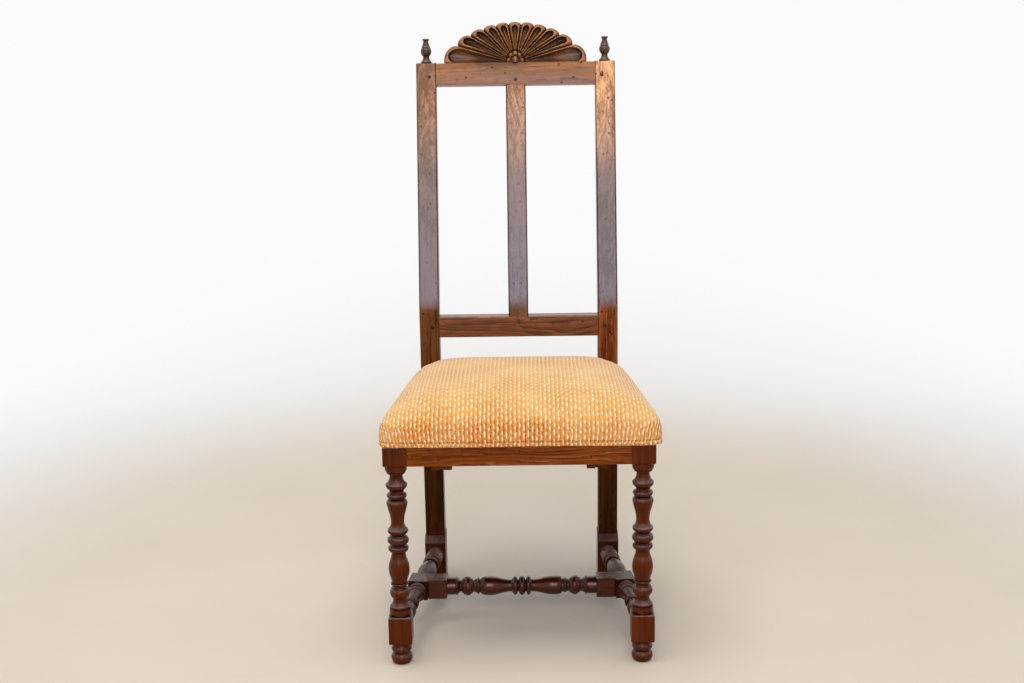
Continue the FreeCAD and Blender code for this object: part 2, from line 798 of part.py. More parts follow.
def seat_screws():
    """Four screws through the corner blocks into the seat board."""
    screws = []
    for front in (True, False):
        x, y = seat_screw_place(front)
        face = frame_top - corner_drop - corner_thickness
        screw = wood_screw(x, y, face, board_bottom() + screw_bite)
        screws += [screw, mirrored(screw)]
    return Part.makeCompound(screws)


def batten_screw_places():
    """Plan positions of the right-hand batten's screws, under the front and rear rails."""
    x = batten_inner + batten_width / 2
    return [(x, rail_front_y + rail_thickness - screw_head_radius), (x, rear_rail_y + screw_head_radius)]


def batten_screw_holes():
    """Clear holes for all batten screws, with their counterbores."""
    holes = []
    for x, y in batten_screw_places():
        face = rail_bottom - batten_thickness
        seat = face + screw_head_height + tenon_end_gap
        bore = cylinder(screw_radius + screw_clear, Vector(x, y, face),
                        Vector(x, y, rail_bottom + screw_bite + tenon_end_gap))
        sink = cylinder(screw_head_radius + screw_clear, Vector(x, y, face - overrun), Vector(x, y, seat))
        hole = bore.fuse(sink)
        holes += [hole, mirrored(hole)]
    return holes


def batten_screws():
    """Four screws that hold the battens up to the rails."""
    screws = []
    for x, y in batten_screw_places():
        face = rail_bottom - batten_thickness + screw_head_height + tenon_end_gap
        screw = wood_screw(x, y, face, rail_bottom + screw_bite)
        screws += [screw, mirrored(screw)]
    return Part.makeCompound(screws)


def seat_batten():
    """Batten from front to back under the seat frame, right-hand one."""
    front = front_y + batten_front_setback
    rear = rear_rail_y + rail_thickness - batten_rear_setback
    bar = box(batten_inner, batten_inner + batten_width, front, rear,
              rail_bottom - batten_thickness, rail_bottom)
    return bar.cut(batten_screw_holes())


# Seat

def board_bottom():
    """Underside of the seat board, on the cover's turned-in margin."""
    return frame_top + soft_gap + margin_thickness


def seat_outline(inset, height, radius):
    """Seat outline at a height: a trapezoid with round corners, drawn in by an inset."""
    y0 = front_y + base_setback + inset
    y1 = rear_rail_y + rail_thickness - inset
    taper = (front_width - rear_width) / 2 / seat_depth
    lean = math.sqrt(1 + taper * taper)

    def half_width(y):
        return front_width / 2 - base_setback - inset * lean - taper * (y - front_y - base_setback)

    corners = [Vector(half_width(y0), y0, height), Vector(half_width(y1), y1, height),
               Vector(-half_width(y1), y1, height), Vector(-half_width(y0), y0, height)]
    edges = []
    ends = []
    for k, corner in enumerate(corners):
        before = (corners[k - 1] - corner).normalize()
        after = (corners[(k + 1) % len(corners)] - corner).normalize()
        bisector = (before + after).normalize()
        half_angle = math.acos(before.dot(after)) / 2
        cut_back = radius / math.tan(half_angle)
        centre = corner + bisector * (radius / math.sin(half_angle))
        middle = centre - bisector * radius
        ends.append((corner + before * cut_back, middle, corner + after * cut_back))
    for k, (start, middle, end) in enumerate(ends):
        edges.append(Part.Arc(start, middle, end).toShape())
        edges.append(Part.makeLine(end, ends[(k + 1) % len(ends)][0]))
    return Part.Wire(edges)


def post_notches(gap):
    """Space that the seat leaves round the posts."""
    rear = rear_rail_y + rail_thickness + overrun + post_depth
    notch = box(post_inner - gap, front_width, post_y - gap, rear, 0, bend_height)
    return [notch, mirrored(notch)]


def slab(inset, gap, z0, z1):
    """Flat layer of the seat, with its corners cut out for the posts."""
    radius = seat_corner + corner_growth_share * inset
    face = Part.Face(seat_outline(inset, z0, radius))
    return face.extrude(Vector(0, 0, z1 - z0)).cut(post_notches(gap))


def dome_sections(inset, bottom):
    """Outlines that the cushion is drawn through: upright edge, bulge, crowned top."""
    edge_top = board_bottom() + board_thickness
    widest = frame_top + bulge_height
    rise = seat_crown - inset - widest
    half = rear_width / 2
    outlines = [seat_outline(inset, edge_top, seat_corner)]
    if bottom < edge_top:
        outlines.insert(0, seat_outline(inset, bottom, seat_corner))
    for share in dome_shares:
        if share < 1:
            draw = half * (1 - (1 - share ** dome_power) ** (1 / dome_power))
        else:
            draw = half * dome_top_inset_share
        outlines.append(seat_outline(inset - side_bulge + draw, widest + rise * share, bulge_corner))
    return outlines


def dome(inset, gap, bottom):
    """Crowned cushion form with drawn-in sides."""
    solid = Part.makeLoft(dome_sections(inset, bottom), True, True)
    return solid.cut(post_notches(gap))


def seat_board():
    """Plywood board that the seat is made up on."""
    inset = cover_thickness + soft_gap
    board = slab(inset, notch_gap + inset, board_bottom(), board_bottom() + board_thickness)
    return board.cut(seat_screw_bores())


def seat_foam():
    """Padding on the board."""
    inset = cover_thickness + soft_gap
    return dome(inset, notch_gap + inset, board_bottom() + board_thickness)


def seat_cover():
    """Cloth over the padding, turned in under the board."""
    bottom = frame_top + soft_gap
    outer = dome(0, notch_gap, bottom)
    hollow = dome(cover_thickness, notch_gap + cover_thickness, board_bottom())
    opening = slab(margin_width, notch_gap + margin_width, bottom - overrun, board_bottom() + overrun)
    return outer.cut([hollow, opening]).cut(seat_screw_bores())


def dust_cover():
    """Thin cloth that closes the underside of the seat inside the turned-in margin."""
    inset = margin_width + soft_gap
    sheet = slab(inset, notch_gap + inset, board_bottom() - dust_thickness, board_bottom())
    return sheet.cut(seat_screw_bores())


def seat_welt():
    """Piped edge along the front and both sides of the seat, from post to post."""
    height = frame_top + soft_gap + welt_radius
    outline = seat_outline(-welt_radius - soft_gap, height, seat_corner)
    stop = post_y - notch_gap - welt_end_gap
    path = []
    for edge in outline.Edges:
        first = edge.Vertexes[0].Point
        last = edge.Vertexes[-1].Point
        if max(first.y, last.y) < stop:
            path.append(edge)
        elif min(first.y, last.y) < stop:
            low, high = (first, last) if first.y < last.y else (last, first)
            end = low + (high - low) * ((stop - low.y) / (high.y - low.y))
            path.append(Part.makeLine(low, end))
    path = Part.Wire(Part.__sortEdges__(path))
    start = path.OrderedVertexes[0].Point
    heading = path.OrderedVertexes[1].Point - start
    section = Part.Wire([Part.makeCircle(welt_radius, start, heading)])
    return path.makePipeShell([section], True, False)


def pegs(right_hand):
    """A peg and its twin on the other side."""
    return Part.makeCompound([right_hand, mirrored(right_hand)])


def both_sides(name, shape):
    """Left and right pieces under one name."""
    return {name + "_right": shape, name + "_left": mirrored(shape)}


def pieces():
    """Every piece of the chair by name."""
    made = {}
    made.update(both_sides("front_leg", front_leg()))
    made.update(both_sides("back_post", back_post()))
    made.update(both_sides("side_seat_rail", side_seat_rail()))
    made.update(both_sides("side_stretcher", side_stretcher()))
    made.update(both_sides("finial", finial()))
    made.update(both_sides("front_corner_block", corner_block(True)))
    made.update(both_sides("rear_corner_block", corner_block(False)))
    made.update(both_sides("seat_batten", seat_batten()))
    made["front_seat_rail"] = front_seat_rail()
    made["rear_seat_rail"] = rear_seat_rail()
    made["crest_rail"] = crest_rail()
    made["lower_back_rail"] = lower_back_rail()
    made["back_mullion"] = back_mullion()
    made["cross_stretcher"] = cross_stretcher()
    made["crest_rail_pegs"] = pegs(on_back(crest_peg(0)))
    made["lower_back_rail_pegs"] = pegs(lower_rail_peg(0))
    made["mullion_pegs"] = Part.makeCompound([on_back(mullion_peg(upper, 0)) for upper in (True, False)])
    made["seat_board"] = seat_board()
    made["seat_foam"] = seat_foam()
    made["seat_cover"] = seat_cover()
    made["seat_welt"] = seat_welt()
    made["dust_cover"] = dust_cover()
    made["seat_screws"] = seat_screws()
    made["batten_screws"] = batten_screws()
    return made


os.makedirs("parts", exist_ok=True)
for name, shape in pieces().items():
    shape.exportStep("parts/" + name + ".step")
    print(name, len(shape.Solids), "solid", round(shape.Volume), "mm3")
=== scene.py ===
# %% [markdown]
# # A side chair with a carved shell crest
#
# The chair is a softwood frame, dark stained and waxed, with turned legs and stretchers, a shell
# carved on the crest rail and a tight seat covered in chenille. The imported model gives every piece
# its place and its joints. This lesson dresses that frame: it keeps the sawn wood, carves a finer
# crest, turns the legs, finials and cross stretcher with every cut, upholsters the seat, and gives
# each piece its material.

# %% Load the frame
import math

import bmesh
import bpy
import numpy as np
from mathutils import Euler, Matrix, Vector


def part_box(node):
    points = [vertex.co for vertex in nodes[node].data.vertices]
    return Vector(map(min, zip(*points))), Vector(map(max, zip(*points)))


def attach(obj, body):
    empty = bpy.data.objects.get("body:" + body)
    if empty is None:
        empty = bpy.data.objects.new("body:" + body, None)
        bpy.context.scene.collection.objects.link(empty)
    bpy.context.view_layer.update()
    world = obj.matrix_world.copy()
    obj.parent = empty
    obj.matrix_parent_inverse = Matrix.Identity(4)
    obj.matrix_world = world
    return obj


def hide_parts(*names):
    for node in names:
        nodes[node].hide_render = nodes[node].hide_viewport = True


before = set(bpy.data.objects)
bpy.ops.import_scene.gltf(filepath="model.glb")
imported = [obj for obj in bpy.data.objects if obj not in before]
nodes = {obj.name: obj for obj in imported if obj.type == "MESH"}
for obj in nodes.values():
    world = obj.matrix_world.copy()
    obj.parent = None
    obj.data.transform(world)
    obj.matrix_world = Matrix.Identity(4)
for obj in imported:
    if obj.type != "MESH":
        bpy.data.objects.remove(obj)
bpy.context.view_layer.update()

# %% [markdown]
# ## Camera
#
# The picture was taken from the front, a little above the crest and looking down at the seat. The
# camera could be placed by eye, but here it was fitted to points measured in the picture, so its
# three turns and its place are written as numbers. The focal length is in pixels of a picture
# 1024 wide, and a 36 mm sensor turns it into millimetres of lens.

# %% Place the camera
photo_width = 1024
focal_pixels = 1500.11
camera_place = Vector((0.01738, -2.7730, 1.17893))
camera_pitch = math.radians(12.9637)
camera_yaw = math.radians(-0.61223)
camera_roll = math.radians(0.85506)


def camera_axes(pitch, yaw, roll):
    """Right, up and back axes: level axes turned by yaw, tipped down by pitch, then rolled."""
    level_right = Vector((math.cos(yaw), -math.sin(yaw), 0))
    level_forward = Vector((math.sin(yaw), math.cos(yaw), 0))
    forward = level_forward * math.cos(pitch) - Vector((0, 0, math.sin(pitch)))
    level_up = level_right.cross(forward)
    right = level_right * math.cos(roll) - level_up * math.sin(roll)
    up = level_up * math.cos(roll) + level_right * math.sin(roll)
    return right, up, -forward


camera_data = bpy.data.cameras.new("camera")
camera_data.sensor_fit = "HORIZONTAL"
camera_data.lens = camera_data.sensor_width * focal_pixels / photo_width
camera = bpy.data.objects.new("camera", camera_data)
camera_turn = Matrix(camera_axes(camera_pitch, camera_yaw, camera_roll)).transposed()
camera.matrix_world = Matrix.Translation(camera_place) @ camera_turn.to_4x4()
bpy.context.collection.objects.link(camera)
bpy.context.scene.camera = camera
bpy.context.scene.view_settings.view_transform = "Standard"
print("lens", round(camera_data.lens, 2), "mm")

# %% [markdown]
# ## Helpers for materials and meshes
#
# Every material is a small tree of nodes, and one tree at a time lies on the bench. One function
# adds a node to it, sets the node's properties and gives its inputs a number, a colour or a link.
# Colours are written as hex values the way a paint shop writes them, and one function turns them
# into the linear values that the renderer works in. Every new piece is an array of points and an
# array of faces, which one function turns into an object.

# %% Colour and node helpers
bench = {}
soft = {"interpolation_type": "SMOOTHSTEP"}


def linear(code):
    """Hex colour to linear RGBA: a channel c becomes ((c + 0.055) / 1.055) to the power 2.4."""
    channels = [int(code[k:k + 2], 16) / 255 for k in (1, 3, 5)]
    return (*[c / 12.92 if c <= 0.04045 else ((c + 0.055) / 1.055) ** 2.4 for c in channels], 1.0)


def open_tree(owner):
    """Lays the tree of a material or a world on the bench. Nodes added from now on go into it."""
    owner.use_nodes = True
    bench["tree"] = owner.node_tree
    return owner.node_tree.nodes


def feed(node, inputs):
    """Gives inputs, by name or number, a value, a hex colour, a socket, or a node's first output."""
    for key, value in inputs.items():
        if isinstance(value, str):
            value = linear(value)
        elif isinstance(value, bpy.types.Node):
            value = value.outputs[0]
        if isinstance(value, bpy.types.NodeSocket):
            bench["tree"].links.new(value, node.inputs[key])
        else:
            node.inputs[key].default_value = value


def add(kind, inputs=None, **settings):
    """Adds a node with its settings and inputs to the tree on the bench."""
    node = bench["tree"].nodes.new("ShaderNode" + kind)
    for name, value in settings.items():
        setattr(node, name, value)
    feed(node, inputs or {})
    return node


def new_material(name):
    """A material with an empty tree on the bench, one Principled shader and its output."""
    material = bpy.data.materials.new(name)
    open_tree(material).clear()
    shader = add("BsdfPrincipled")
    add("OutputMaterial", {"Surface": shader})
    return material, shader


print("white is", linear("#FFFFFF"))

# %% Mesh helpers


def grid_faces(rows, columns):
    """Four-corner faces of a grid of points that are numbered row by row."""
    index = np.arange(rows * columns).reshape(rows, columns)
    corners = (index[:-1, :-1], index[:-1, 1:], index[1:, 1:], index[1:, :-1])
    return np.stack(corners, axis=-1).reshape(-1, 4)


def rework(mesh, work):
    """Runs one job on a mesh that is open for editing."""
    opened = bmesh.new()
    opened.from_mesh(mesh)
    work(opened)
    opened.to_mesh(mesh)
    opened.free()


def face_outwards(opened):
    """Turns all faces of a closed mesh outwards."""
    bmesh.ops.recalc_face_normals(opened, faces=opened.faces)


def mesh_piece(name, points, faces, material, sharp_degrees=None):
    """Object from points and lists of faces, turned outwards and smooth up to an angle."""
    mesh = bpy.data.meshes.new(name)
    mesh.from_pydata(np.asarray(points).tolist(), [], [list(map(int, face)) for face in faces])
    rework(mesh, face_outwards)
    mesh.shade_smooth()
    if sharp_degrees is not None:
        mesh.set_sharp_from_angle(angle=math.radians(sharp_degrees))
    mesh.materials.append(material)
    piece = bpy.data.objects.new(name, mesh)
    bpy.context.collection.objects.link(piece)
    return piece


print("mesh helpers ready")

# %% [markdown]
# ## Floor, backdrop and light
#
# A studio uses one wide sheet of pale paper that runs along the floor and sweeps up behind the
# object, so no corner shows. It is a profile of a level run, a quarter circle and an upright run,
# carried sideways. The light is plain: a large soft box overhead, two broad panels in front of the
# chair, and an even sky. The panels stand where the leaning back mirrors them, which gives the
# upper posts and the mullion their soft sheen, while the upright faces mirror only the floor.

# %% Floor and backdrop
floor_front, floor_back, cove_radius, wall_top, sheet_half_width = -7.0, 1.5, 1.2, 5.0, 7.0


def backdrop_sheet():
    """Level run, then y = back + r sin(angle), z = r (1 - cos(angle)), then an upright run."""
    angle = np.linspace(0, math.pi / 2, 25)
    wall_back = floor_back + cove_radius
    y = np.concatenate([[floor_front], floor_back + cove_radius * np.sin(angle), [wall_back]])
    z = np.concatenate([[0.0], cove_radius * (1 - np.cos(angle)), [wall_top]])
    x = np.array([[-sheet_half_width], [sheet_half_width]])
    grid = np.stack(np.broadcast_arrays(x, y[None, :], z[None, :]), axis=-1)
    return grid.reshape(-1, 3), grid_faces(2, len(y))


def seen_directly():
    """One for rays from the camera and mirrored or refracted ones, zero for those carrying light."""
    rays = add("LightPath").outputs
    bent = add("Math", {0: rays["Is Glossy Ray"], 1: rays["Is Transmission Ray"]}, operation="MAXIMUM")
    return add("Math", {0: rays["Is Camera Ray"], 1: bent}, operation="MAXIMUM")


# Matt paper scatters all light and has no gloss. Under the chair it is a warm pale beige, which
# throws warm light up at the wood. Further off it fades to white, and looks evenly lit there.
white_glow = "#FBFBFB"
fade_from, fade_to = 0.9, 2.6
paper, shader = new_material("matt_paper")
paper_place = add("TexCoord").outputs["Object"]
paper_mottle = add("TexNoise", {"Vector": paper_place, "Scale": 3.0})
paper_floor = add("MixRGB", {0: paper_mottle, 1: "#DED3C2", 2: "#E6DCCD"})
paper_far = add("VectorMath", {0: paper_place}, operation="LENGTH").outputs["Value"]
paper_fade = add("MapRange", {0: paper_far, 1: fade_from, 2: fade_to}, **soft)
paper_tone = add("MixRGB", {0: paper_fade, 1: paper_floor, 2: "#F7F9FC"})
feed(shader, {"Base Color": paper_tone, "Roughness": 0.9, "Specular IOR Level": 0.1})
paper_seen = add("Math", {0: seen_directly(), 1: paper_fade}, operation="MULTIPLY")
paper_glow = add("Emission", {"Color": white_glow})
paper_look = add("MixShader", {0: paper_seen, 1: shader, 2: paper_glow})
feed(paper.node_tree.nodes["Material Output"], {"Surface": paper_look})
backdrop = mesh_piece("backdrop", *backdrop_sheet(), paper)
print("backdrop of", len(backdrop.data.polygons), "strips")

# %% Lights


def soft_box(name, place, target, size, radiance, tint):
    """Area lamp of (width, height) that faces target. Its power is radiance times area times pi."""
    lamp = bpy.data.lights.new(name, "AREA")
    lamp.shape = "RECTANGLE"
    lamp.size, lamp.size_y = size
    lamp.energy = radiance * size[0] * size[1] * math.pi
    lamp.color = linear(tint)[:3]
    box = bpy.data.objects.new(name, lamp)
    box.location = place
    box.rotation_euler = (Vector(target) - Vector(place)).to_track_quat("-Z", "Y").to_euler()
    bpy.context.collection.objects.link(box)


soft_box("overhead_box", (-0.3, -0.7, 3.6), (0, 0, 0.5), (3.0, 2.4), 3.1, "#FFFAF2")
soft_box("low_front_panel", (0.0, -4.6, 1.75), (0, 0.15, 0.75), (1.5, 1.15), 8.5, "#B2D0FF")
soft_box("high_front_panel", (0.0, -4.3, 3.05), (0, 0.2, 1.0), (1.4, 1.25), 9.5, "#FFE0C4")

world = bpy.data.worlds.new("studio")
air = open_tree(world)
sky = air["Background"]
feed(sky, {"Color": "#F3F5F8", "Strength": 0.42})
white_sky = add("Background", {"Color": white_glow})
seen_sky = add("MixShader", {0: seen_directly(), 1: sky, 2: white_sky})
feed(air["World Output"], {"Surface": seen_sky})
bpy.context.scene.world = world
print("three soft boxes and an even sky")

# %% [markdown]
# ## Stained softwood
#
# The frame is knotty softwood, sawn or turned, stained dark and rubbed with wax. Seen close, it
# has broad growth rings cut open by the saw, fine fibres along the grain, dust that stayed in the
# open grain and small worm holes. Every groove is darker, partly from stain and partly as painted
# shade. The rings could be painted, but a tree is a set of cylinders round its pith, so the
# pattern here is just that: the distance from a pith line beside the piece, bent a little by
# noise. Each piece gets its own pith, so that no two boards look cut from the same place.

# %% Growth rings and fibres
ring_width, streak_width, fibre_width = 0.0060, 0.0070, 0.0016
grain_stretch = 30
grain_turns = {"x": (0, 0, 0), "y": (0, 0, -math.pi / 2), "z": (0, math.pi / 2, 0)}
pith_choice = np.random.default_rng(11)


def wood_grain(box, grain, figure):
    """Ring = distance from the pith over the ring width. Streaks and fibres are drawn-out noise."""
    turn = Euler(grain_turns[grain])
    centre = turn.to_matrix() @ ((Vector(box[0]) + Vector(box[1])) / 2)
    angle, reach = pith_choice.uniform(0, 2 * math.pi), pith_choice.uniform(0.03, 0.07)
    pith = Vector((pith_choice.uniform(-1, 1), reach * math.cos(angle), reach * math.sin(angle)))
    spot = add("TexCoord").outputs["Object"]
    place = add("Mapping", {"Vector": spot, "Location": pith - centre, "Rotation": turn})

    # The trunk is not straight: slow noise, long along the grain, bends the rings a little.
    slow = add("VectorMath", {0: place, 1: (4.0, 22.0, 22.0)}, operation="MULTIPLY")
    wander = add("TexNoise", {"Vector": slow, "Scale": 1.0, "Detail": 3.0}).outputs["Color"]
    shift = add("VectorMath", {0: wander, 1: (0.5, 0.5, 0.5)}, operation="SUBTRACT")
    sway = 0.020 + 0.03 * figure
    shift = add("VectorMath", {0: shift, 1: (0.0, sway, sway)}, operation="MULTIPLY")
    bent = add("VectorMath", {0: place, 1: shift}, operation="ADD")
    rings = add("TexWave", {"Vector": bent, "Scale": math.pi / 10 / ring_width},
                wave_type="RINGS", rings_direction="X", wave_profile="SAW").outputs["Fac"]
    drawn = add("VectorMath", {0: bent, 1: (1, grain_stretch, grain_stretch)}, operation="MULTIPLY")
    streaks = add("TexNoise", {"Vector": drawn, "Scale": 1 / (grain_stretch * streak_width), "Detail": 3.0})
    fibres = add("TexNoise", {"Vector": drawn, "Scale": 1 / (grain_stretch * fibre_width)})
    return place, rings, streaks, fibres, add("TexNoise", {"Vector": slow, "Scale": 0.8})


print("rings", ring_width * 1000, "mm apart")

# %% Tones up the back
edge_shaded, edge_clear = 0.0016, 0.0034


def up_the_back(bend_tone, top_tone):
    """Rows of height in metres, tone and wax: leg, seat, below the bend, above it, lean and top."""
    # The leg row is dark as painted shade under the seat, and the top row is pale, partly as a painted warm
    # reflection.
    return [(0.40, "#3A1606", 0.0), (0.47, bend_tone, 0.0), (0.575, bend_tone, 0.0),
            (0.60, "#43220F", 1.0), (0.84, "#43220F", 1.0), (0.99, top_tone, 0.35)]


def tone_by_height(stain, mid, box, rows, rubbed):
    """Stain times the row's tone over the middle tone, and wax, by height and short of the edges, which get
    painted shade.
    """
    spot = add("SeparateXYZ", {0: add("TexCoord").outputs["Object"]}).outputs
    height = spot["Z"]
    shade_tone = np.array(linear(rows[0][1])) / mid
    tones, polish = add("ValToRGB", {0: height}), add("ValToRGB", {0: height})
    tone_stops, wax_stops = tones.color_ramp.elements, polish.color_ramp.elements
    tone_stops[0].color = shade_tone
    wax_stops[1].color = (*[rows[-1][2]] * 3, 1)
    for up, code, wax in rows:
        tone_stops.new(up).color = np.array(linear(code)) / mid
        wax_stops.new(up).color = (wax, wax, wax, 1)

    # The rounded edges and the sides get painted shade, the darkest row's tone, and no polish.
    middle, half = (box[0][0] + box[1][0]) / 2, (box[1][0] - box[0][0]) / 2
    aside = add("Math", {0: spot["X"], 1: middle}, operation="SUBTRACT")
    aside = add("Math", {0: aside}, operation="ABSOLUTE")
    facing = add("MapRange", {0: aside, 1: half - edge_shaded, 2: half - edge_clear})
    tones = add("MixRGB", {0: facing, 1: shade_tone, 2: tones})
    stain = add("MixRGB", {0: 1.0, 1: stain, 2: tones}, blend_type="MULTIPLY")
    polish = add("Math", {0: polish, 1: facing}, operation="MULTIPLY")
    return stain, add("Math", {0: polish, 1: rubbed}, operation="MULTIPLY", use_clamp=True)


print("bend of the back at", up_the_back("#000000", "#000000")[2][0], "m")

# %% Wood material
worm_hole_spacing, worm_hole_radius = 0.019, 0.0024


def stained_wood(name, box, grain, tone, figure, wear, shine,
                 faded=None, nook_shade_reach=0.014, lacquer=0.0, underside=0.0):
    """Rings, streaks, fibres and blotches add up to a share between dark, middle and pale stain."""
    wood, shader = new_material(name)
    place, rings, streaks, fibres, blotch = wood_grain(box, grain, figure)
    mid = np.array(linear(tone))
    dark, pale = mid * (0.42, 0.36, 0.30, 1), mid * (1.75, 1.85, 1.9, 1)
    share = 0.0
    for layer, weight in ((rings, 0.42 * figure), (streaks, 0.75), (fibres, 0.55), (blotch, 0.60)):
        share = add("Math", {0: layer, 1: weight, 2: share}, operation="MULTIPLY_ADD")
    level, spread = 0.95 + 0.21 * figure, 0.14 if faded else 0.40 - 0.18 * wear
    low, high = level - spread, level + spread
    stain = add("ValToRGB", {0: add("MapRange", {0: share, 1: low, 2: high})})
    stops = stain.color_ramp.elements
    stops[0].color, stops[1].color = dark, pale
    stops.new(0.5).color = mid

    # Dust stays in the open grain at the edge of a ring, in patches.
    edge = add("MapRange", {0: rings, 1: 0.84, 2: 0.98}, **soft)
    patch = add("MapRange", {0: blotch, 1: 0.48, 2: 0.62, 4: 0.8 * figure})
    dusty = add("Math", {0: edge, 1: patch}, operation="MULTIPLY")
    stain = add("MixRGB", {0: dusty, 1: stain, 2: "#93765F"})

    # Years of use leave dull grey scuffs, small and scattered.
    scuffs = add("TexNoise", {"Vector": place, "Scale": 70.0, "Detail": 4.0})
    scuffed = add("MapRange", {0: scuffs, 1: 0.56, 2: 0.70, 4: 0.55 * wear})
    stain = add("MixRGB", {0: scuffed, 1: stain, 2: "#3A261C"})

    # Up the back the tone changes with height: dark on the rear legs as painted shade under the
    # seat, and paler towards the top, partly as a painted warm reflection. Wax shines most on the
    # leaning part, as a thin clear coat, and hardly at all below the bend.
    if faded:
        rubbed = add("MapRange", {0: share, 1: low, 2: high, 3: 0.75, 4: 1.2})
        stain, polish = tone_by_height(stain, mid, box, faded, rubbed)
        feed(shader, {"Coat Weight": polish, "Coat Roughness": 0.28, "Coat IOR": 1.52})
    elif lacquer:
        feed(shader, {"Coat Weight": lacquer, "Coat Roughness": 0.17})

    # Faces that look up get a pale film, less where the piece is in use, and only on level ones
    # where lacquer sheds it: grey-brown dust where the grain lies level, and on upright pieces a
    # blue-grey mix of dust and painted highlight. Faces turned down get a near-black painted shade.
    up = add("SeparateXYZ", {0: add("NewGeometry").outputs["Normal"]}).outputs["Z"]
    clean = 1 - 0.7 * wear
    level_from, level_to = (0.95, 0.995) if lacquer else (0.25, 0.90)
    level_face = add("MapRange", {0: up, 1: level_from, 2: level_to})
    patchy = add("MapRange", {0: scuffs, 1: 0.3, 2: 0.65, 3: 0.25 * clean, 4: 0.75 * clean})
    dust_and_highlight_tone = "#868890" if grain == "z" else "#867C76"
    dust_and_highlight = add("Math", {0: level_face, 1: patchy}, operation="MULTIPLY")
    stain = add("MixRGB", {0: dust_and_highlight, 1: stain, 2: dust_and_highlight_tone})
    shaded_below = add("MapRange", {0: up, 1: -0.08, 2: -0.70, 4: underside})
    stain = add("MixRGB", {0: shaded_below, 1: stain, 2: "#1A0802"})

    # Worm holes are small balls round scattered points, where the surface happens to cut them.
    worms = add("TexVoronoi", {"Vector": place, "Scale": 1 / worm_hole_spacing})
    hole_edge = wear * worm_hole_radius / worm_hole_spacing
    hole = add("MapRange", {0: worms, 1: hole_edge * 1.2 + 1e-5, 2: hole_edge * 0.7})
    stain = add("MixRGB", {0: hole, 1: stain, 2: "#140804"})

    # Grooves and corners are darker: partly stain and old wax gathered there,
    # partly painted shade.
    nook_shade = add("AmbientOcclusion", {"Distance": nook_shade_reach}, samples=6, only_local=True)
    depth = add("MapRange", {
        0: nook_shade.outputs["AO"], 1: 0.48 - 0.14 * wear, 2: 0.98 - 0.06 * wear, 3: 0.95, 4: 0.0})
    stain = add("MixRGB", {0: depth, 1: stain, 2: "#120603"})

    # Relief in metres: dents from years of use, rings, streaks and the holes.
    dents = add("TexNoise", {"Vector": place, "Scale": 40.0, "Detail": 1.0})
    relief = 0.0
    for layer, rise in ((dents, 0.0005 + 0.0002 * wear), (rings, 0.00015 * figure),
                        (streaks, 0.00012), (hole, -0.0008)):
        relief = add("Math", {0: layer, 1: rise, 2: relief}, operation="MULTIPLY_ADD")
    bump = add("Bump", {"Height": relief, "Distance": 1.0, "Strength": 0.2 if faded else 0.8})

    # Wax over open grain: satin, and rubbed through to dull wood along some streaks.
    gloss = add("MapRange", {0: streaks, 1: 0.35, 2: 0.66, 3: 0.25, 4: 0.30 + 0.06 * wear})
    tint = "#FFFFFF" if shine > 0.3 else "#FFC890"
    feed(shader, {"Base Color": stain, "Roughness": gloss, "IOR": 1.5, "Normal": bump,
                  "Specular IOR Level": shine, "Specular Tint": tint})
    if faded:
        feed(shader, {"Coat Normal": bump})
    return wood


print("worm holes up to", worm_hole_radius * 2000, "mm wide")

# %% Stain each piece


def dress(piece, material):
    """Gives a piece one material in place of what it had."""
    piece.data.materials.clear()
    piece.data.materials.append(material)


# For each piece: the grain's axis, the stain's middle tone, the strength of the figure, the wear,
# the shine, and whatever sets its finish apart.
rail_tone, leg_tone, peg_tone = "#73350A", "#531F06", "#2B1A12"
# The right post is painted paler than the left, as painted light falling more on that side.
left_tone, right_lit_tone, mullion_tone = "#865C40", "#BA865A", "#9A7157"
left_back = up_the_back("#4F2D15", left_tone)
right_lit_back = up_the_back("#7F4320", right_lit_tone)
mullion_back = up_the_back("#5D3618", mullion_tone)
# An underside value paints shade on the faces that turn down.
wood_plan = {
    "front_leg": ("z", leg_tone, 0.15, 0.0, 0.24, {"underside": 0.8}),
    "back_post_left": ("z", left_tone, 0.2, 1.0, 0.25, {"faded": left_back}),
    "back_post_right": ("z", right_lit_tone, 0.2, 1.0, 0.25, {"faded": right_lit_back}),
    "front_seat_rail": ("x", rail_tone, 0.95, 0.6, 0.25, {}),
    "rear_seat_rail": ("x", rail_tone, 0.7, 0.6, 0.25, {}),
    "side_seat_rail": ("y", rail_tone, 0.8, 0.5, 0.25, {}),
    "lower_back_rail": ("x", "#6E3C1A", 0.9, 0.8, 0.4, {}),
    "back_mullion": ("z", mullion_tone, 0.2, 1.0, 0.25, {"faded": mullion_back}),
    "finial": ("z", "#4C2A12", 0.1, 0.0, 0.4, {"underside": 0.6}),
    "side_stretcher": ("y", "#451804", 0.15, 0.4, 0.2, {"underside": 0.8}),
    "cross_stretcher": ("x", "#421402", 0.15, 0.1, 0.15, {"lacquer": 0.5, "underside": 0.8}),
    "seat_batten": ("y", leg_tone, 0.6, 0.0, 0.25, {})}
for stem in ("crest_rail_pegs", "lower_back_rail_pegs", "mullion_pegs"):
    wood_plan[stem] = ("y", peg_tone, 0.3, 0.0, 0.2, {})
for stem, (*finish, apart) in wood_plan.items():
    for name in sorted(nodes):
        if name in (stem, stem + "_left", stem + "_right"):
            dress(nodes[name], stained_wood("stained_" + name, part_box(name), *finish, **apart))
print(sum(m.name.startswith("stained_") for m in bpy.data.materials), "pieces of stained wood")

# %% [markdown]
# ## Hidden pieces
#
# Under the seat are corner blocks of plain wood, a plywood board, a black dust cloth and screws.
# They are only seen from below, but each still gets its own finish. The blocks and the board share
# one function, because both are bare wood that differs only in how often its layers repeat.

# %% Bare wood, dust cloth and screws


